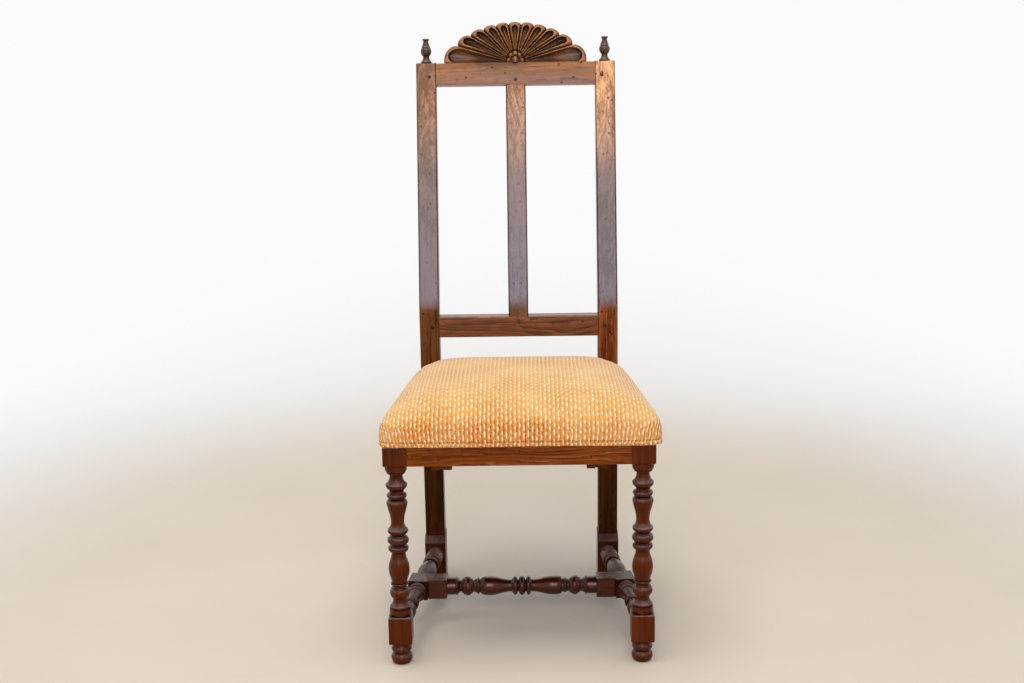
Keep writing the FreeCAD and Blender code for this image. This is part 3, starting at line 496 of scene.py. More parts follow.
def bare_wood(name, layer, axis, low_tone, high_tone):
    """Unfinished wood: bands of two tones a layer apart along an axis, broken by drawn-out noise."""
    wood, shader = new_material(name)
    bands = add("TexWave", {
        "Vector": add("TexCoord").outputs["Object"], "Scale": math.pi / 10 / layer,
        "Distortion": 1.5, "Detail": 2.0, "Detail Scale": 0.3}, bands_direction=axis).outputs["Fac"]
    colour = add("MixRGB", {0: bands, 1: low_tone, 2: high_tone})
    bump = add("Bump", {"Height": bands, "Distance": 0.0002, "Strength": 0.6})
    feed(shader, {"Base Color": colour, "Normal": bump, "Roughness": 0.65})
    return wood


# Sawn pine stays pale and fuzzy, with rings a few millimetres apart.
pine = bare_wood("sawn_pine", 0.004, "Y", "#B98A56", "#D3AB78")
# Plywood shows its 1.7 mm plies as stripes on the edge.
plywood = bare_wood("birch_plywood", 0.0017, "Z", "#B58D5C", "#DDBE90")

# Spun cloth is black and matt, with a dimpled net of bonded spots.
dust_cloth, shader = new_material("spun_dust_cloth")
dimples = add("TexVoronoi", {"Vector": add("TexCoord").outputs["Object"], "Scale": 400.0})
dimpled = add("Bump", {"Height": dimples, "Distance": 0.0003})
black = add("MixRGB", {0: dimples, 1: "#0F0F10", 2: "#2A2A2C"})
feed(shader, {"Base Color": black, "Normal": dimpled, "Roughness": 0.95})

# Blued steel is a dark metal with a fine grain from tumbling.
steel, shader = new_material("blued_steel")
tumble = add("TexNoise", {"Vector": add("TexCoord").outputs["Object"], "Scale": 900.0})
blued = add("MixRGB", {0: tumble, 1: "#2B2826", 2: "#4A4643"})
satin = add("MapRange", {0: tumble, 1: 0.0, 2: 1.0, 3: 0.28, 4: 0.48})
feed(shader, {"Base Color": blued, "Roughness": satin, "Metallic": 1.0})

hidden_plan = {"corner_block": pine, "seat_board": plywood, "dust_cover": dust_cloth, "screws": steel}
for stem, finish in hidden_plan.items():
    for name in nodes:
        if stem in name:
            dress(nodes[name], finish)
print("hidden pieces:", sorted(n for n in nodes if any(stem in n for stem in hidden_plan)))

# %% [markdown]
# ## Carved shell crest
#
# The crest is one board: a rail with a shell of eleven lobes above it. A carver draws the lobes as
# rays from a boss, cuts a V between them and gouges a tear-shaped hollow in each. Booleans or a
# height map could do it, but the tool marks follow the rays, so the surface is worked out on a grid
# of rays and rings: across a lobe the grid lines run along the hollow's edge, which keeps that
# edge crisp. The same grid carries on over the outer edge and down the flat back, so the shell is
# one closed body.

# %% Back frame
lean = math.radians(12.5)
bend_height = 0.574
reveal = 0.001
post_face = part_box("lower_back_rail")[0][1] - reveal
crest_low, crest_top = 0.447, 0.4895
crest_thickness = 0.028


def on_back(x, along, depth):
    """Place on the leaning back: along runs up it from the bend, depth from its front face back."""
    y = post_face + depth * math.cos(lean) + along * math.sin(lean)
    z = bend_height + along * math.cos(lean) - depth * math.sin(lean)
    return np.stack(np.broadcast_arrays(x, y, z), axis=-1)


print("front of the posts at y", round(post_face, 4))

# %% Shell surface
shell_half, shell_rise, shell_power = 0.1335, 0.0757, 0.63
lobe_pitch = 0.0251
lobes, bulge_middle, bulge_outer = 11, 0.21, 0.33
shell_back, shell_foot = 0.021, -0.010
rim_width, end_rim, edge_round = 0.0046, 0.0062, 0.0030
hollow_depth, groove_depth, groove_width = 0.0115, 0.0045, 0.0014
boss_half, boss_rise, boss_sink = 0.0175, 0.0235, 0.0035


def lobe_outline(across):
    """Outer edge of each lobe: straight from valley to valley plus a bulge of (1 - a^2) ^ 0.6."""
    x = (np.arange(lobes + 1) - lobes / 2) * lobe_pitch
    x[[0, -1]] = -shell_half, shell_half
    height = shell_rise * (1 - (x / shell_half) ** 2) ** shell_power
    height[[0, -1]] = shell_foot
    valley = np.stack([x, height], axis=-1)[:, None, :]
    chord = valley[1:] - valley[:-1]
    outward = np.stack([-chord[..., 1], chord[..., 0]], axis=-1)
    side = np.abs(np.linspace(-1, 1, lobes))[:, None, None] ** 3
    bulge = (bulge_middle + (bulge_outer - bulge_middle) * side) * (1 - across ** 2)[..., None] ** 0.6
    edge = valley[:-1] + chord * (across[..., None] + 1) / 2 + outward * bulge
    return edge, np.linalg.norm(chord, axis=-1)


def one_sheet(lobe_grids):
    """Columns of all lobes side by side, with the valley between two lobes only once."""
    return np.concatenate([*lobe_grids[:, :, :-1], lobe_grids[-1, :, -1:]], axis=-1)


def shell_front(steps_rim=9, steps_hollow=16, rows=72):
    """Depth = V groove at the valleys + round hollow inside the rim + quarter round at the edge."""
    ring = 0.03 + 0.97 * np.linspace(0, 1, rows) ** 0.8
    middle, chord = lobe_outline(np.zeros((lobes, 1)))
    half = chord / 2 * ring
    to_edge = (1 - ring) * np.linalg.norm(middle, axis=-1)
    rim = rim_width * (0.40 + 0.60 * ring)
    hollow = np.clip(half - rim, 0, None)
    cap = np.clip(to_edge - end_rim, 0, None)
    round_end = np.sqrt(np.clip(hollow ** 2 - np.clip(hollow - cap, 0, None) ** 2, 0, None))
    edge_at = np.clip(round_end / half, 0.1, 0.9)[..., None]
    outer, inner = np.linspace(0, 1, steps_rim)[:-1], np.linspace(-1, 1, steps_hollow + 1)
    left_rim = -1 + (1 - edge_at) * outer
    across = np.concatenate([left_rim, edge_at * inner, -left_rim[..., ::-1]], axis=-1)
    outline = lobe_outline(across.reshape(lobes, -1))[0].reshape(*across.shape, 2)
    plan = outline * ring[None, :, None, None]
    to_valley = (1 - np.abs(across)) * half[..., None]
    shallow = np.clip(half / 0.006, 0, 1)[..., None]
    groove = groove_depth * shallow * np.exp(-(to_valley / groove_width) ** 2)
    bowl = np.clip(1 - (np.abs(across) / edge_at) ** 2, 0, None) ** 0.38
    scoop = hollow_depth * np.clip(round_end / 0.0075, 0, 1.35)[..., None] ** 0.9 * bowl
    lip = np.clip(1 - to_edge / edge_round, 0, 1)
    turn_over = edge_round * (1 - np.sqrt(1 - lip ** 2))
    sunk = 0.004 * np.clip(-plan[..., 1] / 0.0012, 0, 1)
    from_boss = np.hypot(plan[..., 0] / boss_half, plan[..., 1] / boss_rise)
    moat = boss_sink * np.clip((1.15 - from_boss) / 0.1, 0, 1)
    depth = reveal + groove + scoop + turn_over[..., None] + sunk + moat
    return one_sheet(plan[..., 0]), one_sheet(plan[..., 1]), one_sheet(depth)


shell_x, shell_h, shell_n = shell_front()
print("shell grid", shell_x.shape, "deepest cut", round(float(shell_n.max() - reveal), 4), "m")

# %% Boss and rail
crest_tone, crest_figure, crest_wear, crest_shine = "#885222", 0.35, 0.9, 0.32
boss_height, petals = 0.0050, 9
button_half, button_rise, button_height = 0.0068, 0.0138, 0.0030


def ring_faces(rows, columns):
    """Faces of a tube: a grid whose last column joins the first, with its two ends closed."""
    index = np.arange(rows * columns).reshape(rows, columns)
    after = np.roll(index, -1, axis=1)
    sides = np.stack([index[:-1], after[:-1], after[1:], index[1:]], axis=-1).reshape(-1, 4)
    return [*sides, index[0][::-1], index[-1]]


def joined(parts):
    """Points and faces of several parts as one list, with each part's numbers after the last's."""
    starts = np.cumsum([0] + [len(points) for points, _ in parts])
    faces = [np.asarray(face) + start for (_, faces), start in zip(parts, starts) for face in faces]
    return np.concatenate([points for points, _ in parts]), faces


def boss_dome(steps=85, rows=26):
    """Half rosette: a ring of beads, |cos| of the petal angle times a round section, and a button."""
    angle = np.linspace(-math.pi / 2, math.pi / 2, steps)[None, :]
    ring = np.linspace(0, 1, rows)[:, None]
    petal = np.abs(np.cos(angle * petals / 2)) ** 0.7
    radius = ring * (0.84 + 0.16 * petal)
    x, h = boss_half * radius * np.sin(angle), boss_rise * radius * np.cos(angle)
    bead = np.sqrt(np.clip(1 - ((ring - 0.80) / 0.20) ** 2, 0, 1)) * (0.25 + 0.75 * petal)
    button = np.sqrt(np.clip(1 - (x / button_half) ** 2 - (h / button_rise) ** 2, 0, 1))
    depth = reveal + boss_sink - boss_height * bead - (boss_height + button_height) * button
    return x, h, np.broadcast_to(depth, x.shape)


def rail_bar(half_length, radius=0.0005, steps=4):
    """Rounded rectangle of depth and height, carried from end to end of the rail."""
    angle = np.linspace(0, math.pi / 2, steps)
    turn = np.concatenate([angle + k * math.pi / 2 for k in range(4)])
    corner = np.repeat(np.array([[1, 1], [-1, 1], [-1, -1], [1, -1]]), steps, axis=0)
    half = np.array([crest_thickness, crest_top - crest_low]) / 2 - radius
    section = corner * half + radius * np.stack([np.cos(turn), np.sin(turn)], axis=-1)
    depth = reveal + crest_thickness / 2 + section[:, 0]
    along = (crest_low + crest_top) / 2 + section[:, 1]
    x = np.array([-half_length, half_length])[:, None]
    return on_back(x, along, depth).reshape(-1, 3), ring_faces(2, len(turn))


def crest_part(x, height, depth, sides):
    """Points and faces of a grid on the crest, with some sides of its border closed by one face."""
    index = np.arange(x.size).reshape(x.shape)
    border = [index[:-1, 0], index[-1, :-1], index[:0:-1, -1], index[0, :0:-1]][:sides]
    points = on_back(x, crest_top + height, depth).reshape(-1, 3)
    return points, [*grid_faces(*x.shape), np.concatenate(border)]


wall = np.linspace(0, 1, 5)[1:, None]
back_rings = np.array([0.75, 0.5, 0.25, 0.03])[:, None]
x = np.concatenate([shell_x, np.repeat(shell_x[-1:], len(wall), 0), shell_x[-1:] * back_rings])
h = np.concatenate([shell_h, np.repeat(shell_h[-1:], len(wall), 0), shell_h[-1:] * back_rings])
n = np.concatenate([shell_n, shell_n[-1:] + (shell_back - shell_n[-1:]) * wall,
                    np.full((len(back_rings), shell_x.shape[1]), shell_back)])
# A long reach gives the shell's hollows a deep painted shade.
crest_wood = stained_wood("stained_carved_crest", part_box("crest_rail"), "x", crest_tone,
                          crest_figure, crest_wear, crest_shine, nook_shade_reach=0.028)
shell, boss = crest_part(x, h, n, sides=4), crest_part(*boss_dome(), sides=3)
crest_parts = joined([shell, boss, rail_bar(half_length=0.157)])
crest = mesh_piece("carved_crest", *crest_parts, crest_wood, sharp_degrees=50)
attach(crest, "root")
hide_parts("crest_rail")
print("carved crest:", len(crest.data.polygons), "faces")

# %% [markdown]
# ## Turned legs, finials and cross stretcher
#
# A turner cuts beads, coves and vases into a spinning blank, and leaves square blocks where rails
# and stretchers join. The solids have that outline already, but a gouge and a parting tool leave
# crisp edges and deep, narrow grooves, so the front legs, the finials and the cross stretcher are
# turned again here with every cut. A Screw modifier on a drawn line could do it. A table is chosen
# instead, one row for each cut from the bottom up or from the left, because that is how a turner
# marks a pattern stick: the length of the cut, the radius half way along and the radius at its end,
# in millimetres. A row without length is a square shoulder.

# %% Turned outlines
millimetre = 0.001
leg_start, leg_cuts = 18.6, [
    (13, 19.6, 19), (0, 0, 16.4), (2, 15.8, 16.6), (0, 0, 17.6), (4, 18.6, 17.4), (10, 13.6, 12.6),
    (5, 12.8, 14.2), (0, 0, 14.8), (17, 18.2, 15.2), (0, 0, 13), (4.5, 11.8, 12.2), (2.6, 12.5, 13.2),
    (0, 0, 15.2), (3.2, 16, 15.4), (0, 0, 13.4), (14, 14.9, 17.2), (14.7, 18.6, 18.9),
    (14.5, 17.9, 15.8), (13, 13.6, 12.6), (3.5, 12.6, 14.2), (0, 0, 15), (7, 17.8, 18.2),
    (4, 17.4, 14), (2.4, 13.2, 13.8), (9.6, 18.6, 18.8), (6, 18, 14), (3.6, 12.8, 14),
    (8, 17.9, 18.3), (2, 18.1, 17), (13.5, 12.9, 12), (16, 12.7, 14.2), (16, 16.6, 18.4),
    (8.5, 18.9, 16.6), (0, 0, 14.4), (3, 13.6, 14.4), (6.2, 17.2, 17.9), (3, 17.6, 15.4),
    (0, 0, 13.6), (7.4, 12.7, 13.8), (9.4, 18.2, 19), (2, 18.9, 17.4), (16, 12.6, 11.9),
    (3.2, 12.9, 15.2), (0, 0, 16.4), (1.6, 16.6, 16.4), (0, 0, 15.2), (1.6, 15, 15.3), (0, 0, 17.6),
    (2.5, 18.8, 19.4), (11, 19.8, 20.1)]
foot_start, foot_cuts = 13.5, [
    (2.5, 15.6, 16.6), (14.5, 19.2, 17.2), (1.5, 16.2, 15.6), (3, 14.9, 15.6), (12.5, 18.4, 15.4),
    (7, 14.4, 16.5)]
finial_start, finial_cuts = 10.4, [
    (3.5, 10.8, 10.3), (0, 0, 9.4), (8, 6.9, 6.2), (2, 6.2, 6.8), (9.5, 9.7, 10.6), (6, 10.2, 8.8),
    (0, 0, 7.9), (1.4, 7.6, 7.9), (0, 0, 8.7), (1.6, 8.8, 8.2), (9.5, 6.2, 5), (3, 5.3, 6.5),
    (2.5, 6.9, 6.4), (1, 4.4, 0.4)]
cross_start, cross_cuts = 16.6, [
    (16.3, 16.7, 16.7), (0, 0, 15), (1.2, 14.8, 15), (0, 0, 17.2), (3.5, 17.8, 16.6), (4.5, 14, 11.8),
    (3.9, 11.3, 12.2), (0, 0, 13.8), (2.8, 14.8, 14.2), (0, 0, 15.4), (2.8, 16.6, 16.4),
    (11.6, 18.7, 16.4), (6.1, 13.9, 11.4), (7.3, 13, 14.9), (3.9, 16.2, 14.8), (0, 0, 13.2),
    (2.8, 12.8, 13.4), (0, 0, 15.2), (14.5, 17.9, 18.5), (22, 17.9, 15.6), (22, 12.9, 11.7),
    (3.5, 12, 13.8), (9.4, 18.4, 15.4), (0, 0, 13), (3.5, 12.2, 13), (0, 0, 15.4), (11.4, 18.7, 15.4),
    (0, 0, 13), (3.1, 12.2, 13), (0, 0, 15.4), (8.6, 18.5, 14.4), (2.8, 12.2, 11.9), (22, 12.9, 15.6),
    (21.6, 17.6, 18.2), (10.8, 18.3, 17.2), (0, 0, 16), (3.3, 16.8, 15.4), (0, 0, 13.4),
    (4.5, 13, 13.4), (5.9, 15, 12.4), (4.1, 11.6, 12.4), (5.7, 14.9, 16.3), (11.8, 18.7, 16.6),
    (0, 0, 15), (3.7, 15.2, 14), (5.1, 11.9, 12.6), (5.5, 14.4, 16.4), (3.5, 17.8, 17.2), (0, 0, 15),
    (1.2, 14.8, 15), (0, 0, 16.7), (17.3, 16.7, 16.6)]


def turning(cuts, start, foot, axis, sides=48, steps=7):
    """Parabola through each cut's first, middle and last radius, swung round an upright axis."""
    run, middle, last = np.array(cuts).T[..., None] * millimetre
    first = np.concatenate([[[start * millimetre]], last[:-1]])
    middle = np.where(run == 0, (first + last) / 2, middle)
    share = np.linspace(0, 1, steps + 1)[1:]
    radius = (first * (1 - share) * (1 - 2 * share) + middle * 4 * share * (1 - share)
              + last * share * (2 * share - 1))
    radius = np.append(start * millimetre, radius)[:, None]
    height = foot + np.append(0, np.cumsum(run, axis=0) - run * (1 - share))[:, None]
    angle = np.linspace(0, 2 * math.pi, sides, endpoint=False)
    ring = (axis[0] + radius * np.cos(angle), axis[1] + radius * np.sin(angle), height)
    points = np.stack(np.broadcast_arrays(*ring), axis=-1)
    return points.reshape(-1, 3), ring_faces(len(radius), sides)


def square_block(half, low, high, axis, ease=0.0012):
    """Square with corners cut by the ease, carried upwards and drawn in by the ease at both ends."""
    corner = np.array([[1, 0], [0, 1], [0, 1], [-1, 0], [-1, 0], [0, -1], [0, -1], [1, 0]])
    tip = np.array([[1, 1], [1, 1], [-1, 1], [-1, 1], [-1, -1], [-1, -1], [1, -1], [1, -1]])
    square = corner * half + (tip - corner) * (half - ease)
    inset = np.array([ease, 0, 0, ease])[:, None, None]
    height = np.array([low, low + ease, high - ease, high])[:, None, None]
    plan = square * (1 - inset / half) + np.array(axis)
    points = np.concatenate([plan, np.broadcast_to(height, (4, 8, 1))], axis=-1)
    return points.reshape(-1, 3), ring_faces(4, 8)


def lying(part):
    """The same part on its side: what ran up now runs to the right."""
    points, faces = part
    return points[:, [2, 0, 1]], faces


def full_length(cuts):
    """Sum of the lengths of the cuts, in metres."""
    return sum(cut[0] for cut in cuts) * millimetre


print("turned leg", round(full_length(leg_cuts), 4), "m, foot", round(full_length(foot_cuts), 4), "m")

# %% Turn the legs and finials
foot_top, low_block_top, turning_top = 0.041, 0.0925, 0.377
top_block_half, low_block_half = 0.0215, 0.021


def turned_piece(name, node, parts):
    """One object from several closed parts, in the wood of the node that it stands for."""
    piece = mesh_piece(name, *joined(parts), nodes[node].data.materials[0], sharp_degrees=32)
    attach(piece, "root")
    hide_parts(node)
    print(name, len(piece.data.polygons), "faces")


for side in ("left", "right"):
    low, high = np.array(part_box("front_leg_" + side))
    axis = (low[:2] + high[:2]) / 2
    turned_piece("turned_leg_" + side, "front_leg_" + side, [
        turning(foot_cuts, foot_start, low[2], axis),
        square_block(low_block_half, foot_top, low_block_top, axis),
        turning(leg_cuts, leg_start, low_block_top, axis),
        square_block(top_block_half, turning_top, high[2], axis)])
    low, high = np.array(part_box("finial_" + side))
    finial_foot = high[2] - full_length(finial_cuts)
    turned_piece("turned_finial_" + side, "finial_" + side, [
        turning(finial_cuts, finial_start, finial_foot, (low[:2] + high[:2]) / 2)])

# %% Turn the cross stretcher
cross_tenon, cross_block, into_side_block = 0.014, 0.034, 0.002
low, high = np.array(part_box("cross_stretcher"))
axis, half = (low[1:] + high[1:]) / 2, (high[2] - low[2]) / 2
cross_end = high[0] - cross_tenon
cross_inner = cross_end - cross_block
cross_stretch = 2 * cross_inner / full_length(cross_cuts)
cross_fitted = [(run * cross_stretch, middle, last) for run, middle, last in cross_cuts]
turned_piece("turned_cross_stretcher", "cross_stretcher", [
    lying(turning(cross_fitted, cross_start, -cross_inner, axis)),
    lying(square_block(half, -cross_end - into_side_block, -cross_inner, axis)),
    lying(square_block(half, cross_inner, cross_end + into_side_block, axis))])
print("turned over", round(2 * cross_inner, 4), "m, drawn out by", round(cross_stretch, 3))

# %% [markdown]
# ## Chenille
#
# The cover is a chenille: soft cut-pile yarns woven side by side. Columns of cream yarn run from
# front to back and wander in a chain of thick and thin beads, staggered from one column to the
# next, over an orange ground with rust tufts between. A picture could be tiled, but the columns
# are simple to say in numbers: the place across, divided by the pitch, gives the column, and the
# place along gives the bead. The pattern reads a map of the cloth in metres that each soft piece
# carries, so it follows the cloth over the edge.

# %% Chenille material
column_pitch, bead_length = 0.00763, 0.0150
yarn_slip = (0.0030, 0.017, 0.0)
seam_shade_low, seam_shade_high = (0.4206, 0.4212), (0.4228, 0.4242)


def chenille(name):
    """Cream bead where the distance from a wandering column line is under a width that pulses."""
    cloth, shader = new_material(name)
    cloth_map = add("UVMap", uv_map="weave")
    wander = add("TexNoise", {"Vector": cloth_map, "Scale": 90.0}).outputs["Color"]
    drift = add("VectorMath", {0: wander, 1: (0.5, 0.5, 0.5)}, operation="SUBTRACT")
    drift = add("VectorMath", {0: drift, 1: yarn_slip}, operation="MULTIPLY")
    laid = add("VectorMath", {0: cloth_map, 1: drift}, operation="ADD")
    laid = add("SeparateXYZ", {0: laid}).outputs

    column = add("Math", {0: laid["X"], 1: column_pitch}, operation="DIVIDE")
    number = add("Math", {0: column}, operation="ROUND")
    off = add("Math", {0: column, 1: number}, operation="SUBTRACT")
    odd = add("Math", {0: number, 1: 2.0}, operation="FLOORED_MODULO")
    chance = add("TexWhiteNoise", {"W": number}, noise_dimensions="1D").outputs["Value"]
    chance = add("Math", {0: chance, 1: 0.40}, operation="MULTIPLY")
    stagger = add("Math", {0: odd, 1: 0.5, 2: chance}, operation="MULTIPLY_ADD")
    bead = add("Math", {0: laid["Y"], 1: 1 / bead_length, 2: stagger}, operation="MULTIPLY_ADD")
    pulse = add("Math", {0: bead, 1: 2 * math.pi}, operation="MULTIPLY")
    pulse = add("Math", {0: pulse}, operation="COSINE")
    half_width = add("Math", {0: pulse, 1: 0.08, 2: 0.075}, operation="MULTIPLY_ADD")
    aside = add("Math", {0: add("Math", {0: off, 1: 0.10}, operation="ADD")}, operation="ABSOLUTE")
    inside = add("Math", {0: half_width, 1: aside}, operation="SUBTRACT")

    # Cut pile is ragged, so fine noise frays the edge of the cream yarn. Its tufts are bright, with
    # tan between.
    fuzz = add("TexNoise", {"Vector": cloth_map, "Scale": 900.0})
    uneven = add("TexNoise", {"Vector": cloth_map, "Scale": 240.0, "Detail": 3.0})
    frayed = add("Math", {0: fuzz, 1: 0.30, 2: inside}, operation="MULTIPLY_ADD")
    cream = add("MapRange", {0: frayed, 1: 0.12, 2: 0.18}, **soft)
    bright = add("Math", {0: uneven, 1: 2.4, 2: pulse}, operation="MULTIPLY_ADD")
    bright = add("MapRange", {0: bright, 1: 0.35, 2: 1.55})
    tuft = add("MixRGB", {0: fuzz, 1: "#FCE6B8", 2: "#FFF9E6"})
    cream_tone = add("MixRGB", {0: bright, 1: "#EDB268", 2: tuft})

    # Beside each cream yarn runs a rust one, in short dashes.
    beside = add("Math", {0: add("Math", {0: off, 1: 0.28}, operation="SUBTRACT")}, operation="ABSOLUTE")
    ragged = add("Math", {0: fuzz, 1: 0.30, 2: beside}, operation="MULTIPLY_ADD")
    rust = add("MapRange", {0: ragged, 1: 0.50, 2: 0.30}, **soft)
    dash = add("MapRange", {0: uneven, 1: 0.40, 2: 0.56, 3: 0.2, 4: 1.0})
    rust = add("Math", {0: rust, 1: dash}, operation="MULTIPLY")
    ground = add("MixRGB", {0: rust, 1: "#E89434", 2: "#A83A00"})

    # The top is painted paler than the sides, as painted sheen, and wear leaves pale patches.
    up = add("SeparateXYZ", {0: add("NewGeometry").outputs["Normal"]}).outputs["Z"]
    painted_top_sheen = add("MapRange", {0: up, 1: 0.45, 2: 0.98, 4: 0.42})
    worn = add("TexNoise", {"Vector": cloth_map, "Scale": 11.0, "Detail": 3.0})
    worn = add("MapRange", {0: worn, 1: 0.38, 2: 0.68, 3: 0.08, 4: 0.40})
    ground = add("MixRGB", {0: add("Math", {0: worn, 1: painted_top_sheen}, operation="ADD"), 1: ground, 2: "#F4CC7F"})
    woven = add("MixRGB", {0: cream, 1: ground, 2: cream_tone})

    # Painted shade: a dark line two millimetres wide in the crease above the piping.
    height = add("SeparateXYZ", {0: add("TexCoord").outputs["Object"]}).outputs["Z"]
    above = add("MapRange", {0: height, 1: seam_shade_low[0], 2: seam_shade_low[1], 4: 0.4})
    shaded_below = add("MapRange", {0: height, 1: seam_shade_high[1], 2: seam_shade_high[0]})
    seam_shade = add("Math", {0: above, 1: shaded_below}, operation="MULTIPLY")
    woven = add("MixRGB", {0: seam_shade, 1: woven, 2: "#7A3E12"})

    # The cream yarn stands about a millimetre proud, and the pile adds a fine tooth.
    ridge = add("MapRange", {0: inside, 1: -0.30, 2: 0.20, 4: 0.0009}, **soft)
    pile = add("Math", {0: fuzz, 1: 0.0006, 2: ridge}, operation="MULTIPLY_ADD")
    bump = add("Bump", {"Height": pile, "Distance": 1.0, "Strength": 0.75})
    feed(shader, {
        "Base Color": woven, "Roughness": 0.9, "Specular IOR Level": 0.15, "Normal": bump,
        "Sheen Weight": 0.5, "Sheen Roughness": 0.45, "Sheen Tint": "#FFF4E4"})
    return cloth


seat_cloth = chenille("chenille_weave")
print("column pitch", column_pitch * 1000, "mm")

# %% [markdown]
# ## Upholstered seat
#
# The seat is padding on a board with the cover drawn tight over it: nearly flat on top, rounded at
# the sides, widest a little above the frame, then drawn in to the piped edge. It could be a box
# with a bevel, but the photograph shows one soft curve, so the section is a superellipse, carried
# round a plan that tapers to the back and has rounded corners. The grid of the cloth is square, as
# the real piece was before it was pulled over, so its columns fan a little at the front corners,
# as they do on the chair. A cloth simulation then swells it from a slightly smaller start.

# %% Seat surface
seat_low, seat_high = np.array(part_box("seat_cover"))
seat_middle = (seat_low[1] + seat_high[1]) / 2
seat_half_depth = (seat_high[1] - seat_low[1]) / 2
front_half_width, seat_taper = 0.2575, 0.1090
crown, widest_height, seat_base = seat_high[2], 0.440, 0.4131
section_power, widest_corner, base_corner = 2.3, 12.0, 26.0
draw_in, rear_slope, seat_shift = 0.045, 0.31, 0.0023
dome_share = 0.88


def half_width_at(y):
    """Half the seat's width: the front half width less the taper times the way back."""
    return front_half_width - seat_taper * (y - seat_low[1])


def gauge_of(across, along, power):
    """Size of a rounded square through a point: (|a|^n + |b|^n)^(1/n), never quite zero."""
    return np.maximum((np.abs(across) ** power + np.abs(along) ** power) ** (1 / power), 1e-9)


def dome_height(x, y, top):
    """Height over the plan: superellipse of the gauge, lower towards the back by a squared slope."""
    along = (y - seat_middle) / seat_half_depth
    gauge = np.clip(gauge_of(x / half_width_at(y), along, widest_corner), 0, 1)
    slope = 1 - rear_slope * np.clip(along, 0, 1) ** 2
    rise = (top - widest_height) * (1 - gauge ** section_power) ** (1 / section_power)
    return widest_height + rise * slope


def run_length(x0, y0, x1, y1, steps=80):
    """Length over the dome from one plan point straight to another, packed towards the far end."""
    share = np.sin(np.linspace(0, math.pi / 2, steps))[:, None]
    x, y = x0 + (x1 - x0) * share, y0 + (y1 - y0) * share
    path = np.stack([x, y, dome_height(x, y, crown)])
    return np.linalg.norm(np.diff(path, axis=1), axis=0).sum(axis=0)


def seat_sheet(size, top, shrink=0.0):
    """Square sheet: its rings run down the dome to the widest line, then in and under to the base."""
    s, t = np.meshgrid(np.linspace(-1, 1, size), np.linspace(-1, 1, size))
    ring = np.maximum(np.maximum(np.abs(s), np.abs(t)), 1e-9)
    over = np.clip(ring / dome_share, 0, 1)
    under = np.clip((ring - dome_share) / (1 - dome_share), 0, 1)
    corner = widest_corner + (base_corner - widest_corner) * under
    gauge = gauge_of(s / ring, t / ring, corner)
    inward = draw_in * (1 - np.cos(under * math.pi / 2))
    reach = np.sin(over * math.pi / 2) ** (2 / section_power) * (1 - shrink) - inward
    y = seat_middle + seat_half_depth * t / ring * reach / gauge
    x = half_width_at(y) * s / ring * reach / gauge
    dome = dome_height(x / (1 - shrink), seat_middle + (y - seat_middle) / (1 - shrink), top)
    skirt = widest_height - (widest_height - seat_base) * np.sin(under * math.pi / 2)
    z = np.where(under > 0, skirt, dome)
    return np.stack([x + seat_shift, y, z], axis=-1), under


def cloth_places(points, under):
    """Place in the flat cloth: length over the dome to the widest line, then the way down from it."""
    drawn = 1 - draw_in * (1 - np.cos(under * math.pi / 2))
    x = (points[:, 0] - seat_shift) / drawn
    y = seat_middle + (points[:, 1] - seat_middle) / drawn
    middle = np.full_like(y, seat_middle)
    inward = np.hypot(x, y - seat_middle) * (1 - drawn)
    down = np.hypot(inward, np.clip(widest_height - points[:, 2], 0, None)) * (under > 0)
    facing = np.abs(x / half_width_at(y)) ** 8
    facing = facing / (facing + np.abs((y - seat_middle) / seat_half_depth) ** 8 + 1e-12)
    u = np.sign(x) * (run_length(0 * x, y, x, y) + down * facing)
    v = np.sign(y - seat_middle) * (run_length(x, middle, x, y) + down * (1 - facing))
    return np.stack([u, v], axis=-1)


sheet_size = 101
full_sheet, under = seat_sheet(sheet_size, crown)
cloth_map = cloth_places(full_sheet.reshape(-1, 3), under.ravel())
print("sheet spans", np.ptp(full_sheet.reshape(-1, 3), axis=0).round(4))

# %% Cloth simulation
start_drop, start_shrink, swell_limit = 0.003, 0.003, 0.004


def points_of(mesh):
    """Places of a mesh's points, one row each."""
    places = np.empty(len(mesh.vertices) * 3)
    mesh.vertices.foreach_get("co", places)
    return places.reshape(-1, 3)


def lay_cloth(piece, cloth_map):
    """Gives every face corner its point's place in the flat cloth."""
    corner_point = np.empty(len(piece.data.loops), dtype=np.int32)
    piece.data.loops.foreach_get("vertex_index", corner_point)
    weave = piece.data.uv_layers.new(name="weave")
    weave.data.foreach_set("uv", cloth_map[corner_point].ravel())


def swell(piece, held, limit):
    """Twenty frames of Cloth with pressure and no gravity. No point then moves further than limit."""
    start = points_of(piece.data)
    group = piece.vertex_groups.new(name="held")
    group.add(held.tolist(), 1.0, "REPLACE")
    cloth = piece.modifiers.new("swell", "CLOTH")
    cloth.settings.quality = 5
    cloth.settings.use_pressure = True
    cloth.settings.uniform_pressure_force = 4.0
    cloth.settings.vertex_group_mass = "held"
    cloth.settings.effector_weights.gravity = 0.0
    for step in range(1, 21):
        bpy.context.scene.frame_set(step)
    swollen = piece.evaluated_get(bpy.context.evaluated_depsgraph_get()).to_mesh()
    move = points_of(swollen) - start
    piece.modifiers.remove(cloth)
    bpy.context.scene.frame_set(1)
    far = np.linalg.norm(move, axis=1, keepdims=True)
    kept = start + move * np.minimum(1, limit / np.maximum(far, 1e-9))
    piece.data.vertices.foreach_set("co", kept.ravel())
    piece.data.update()
    return far.max()


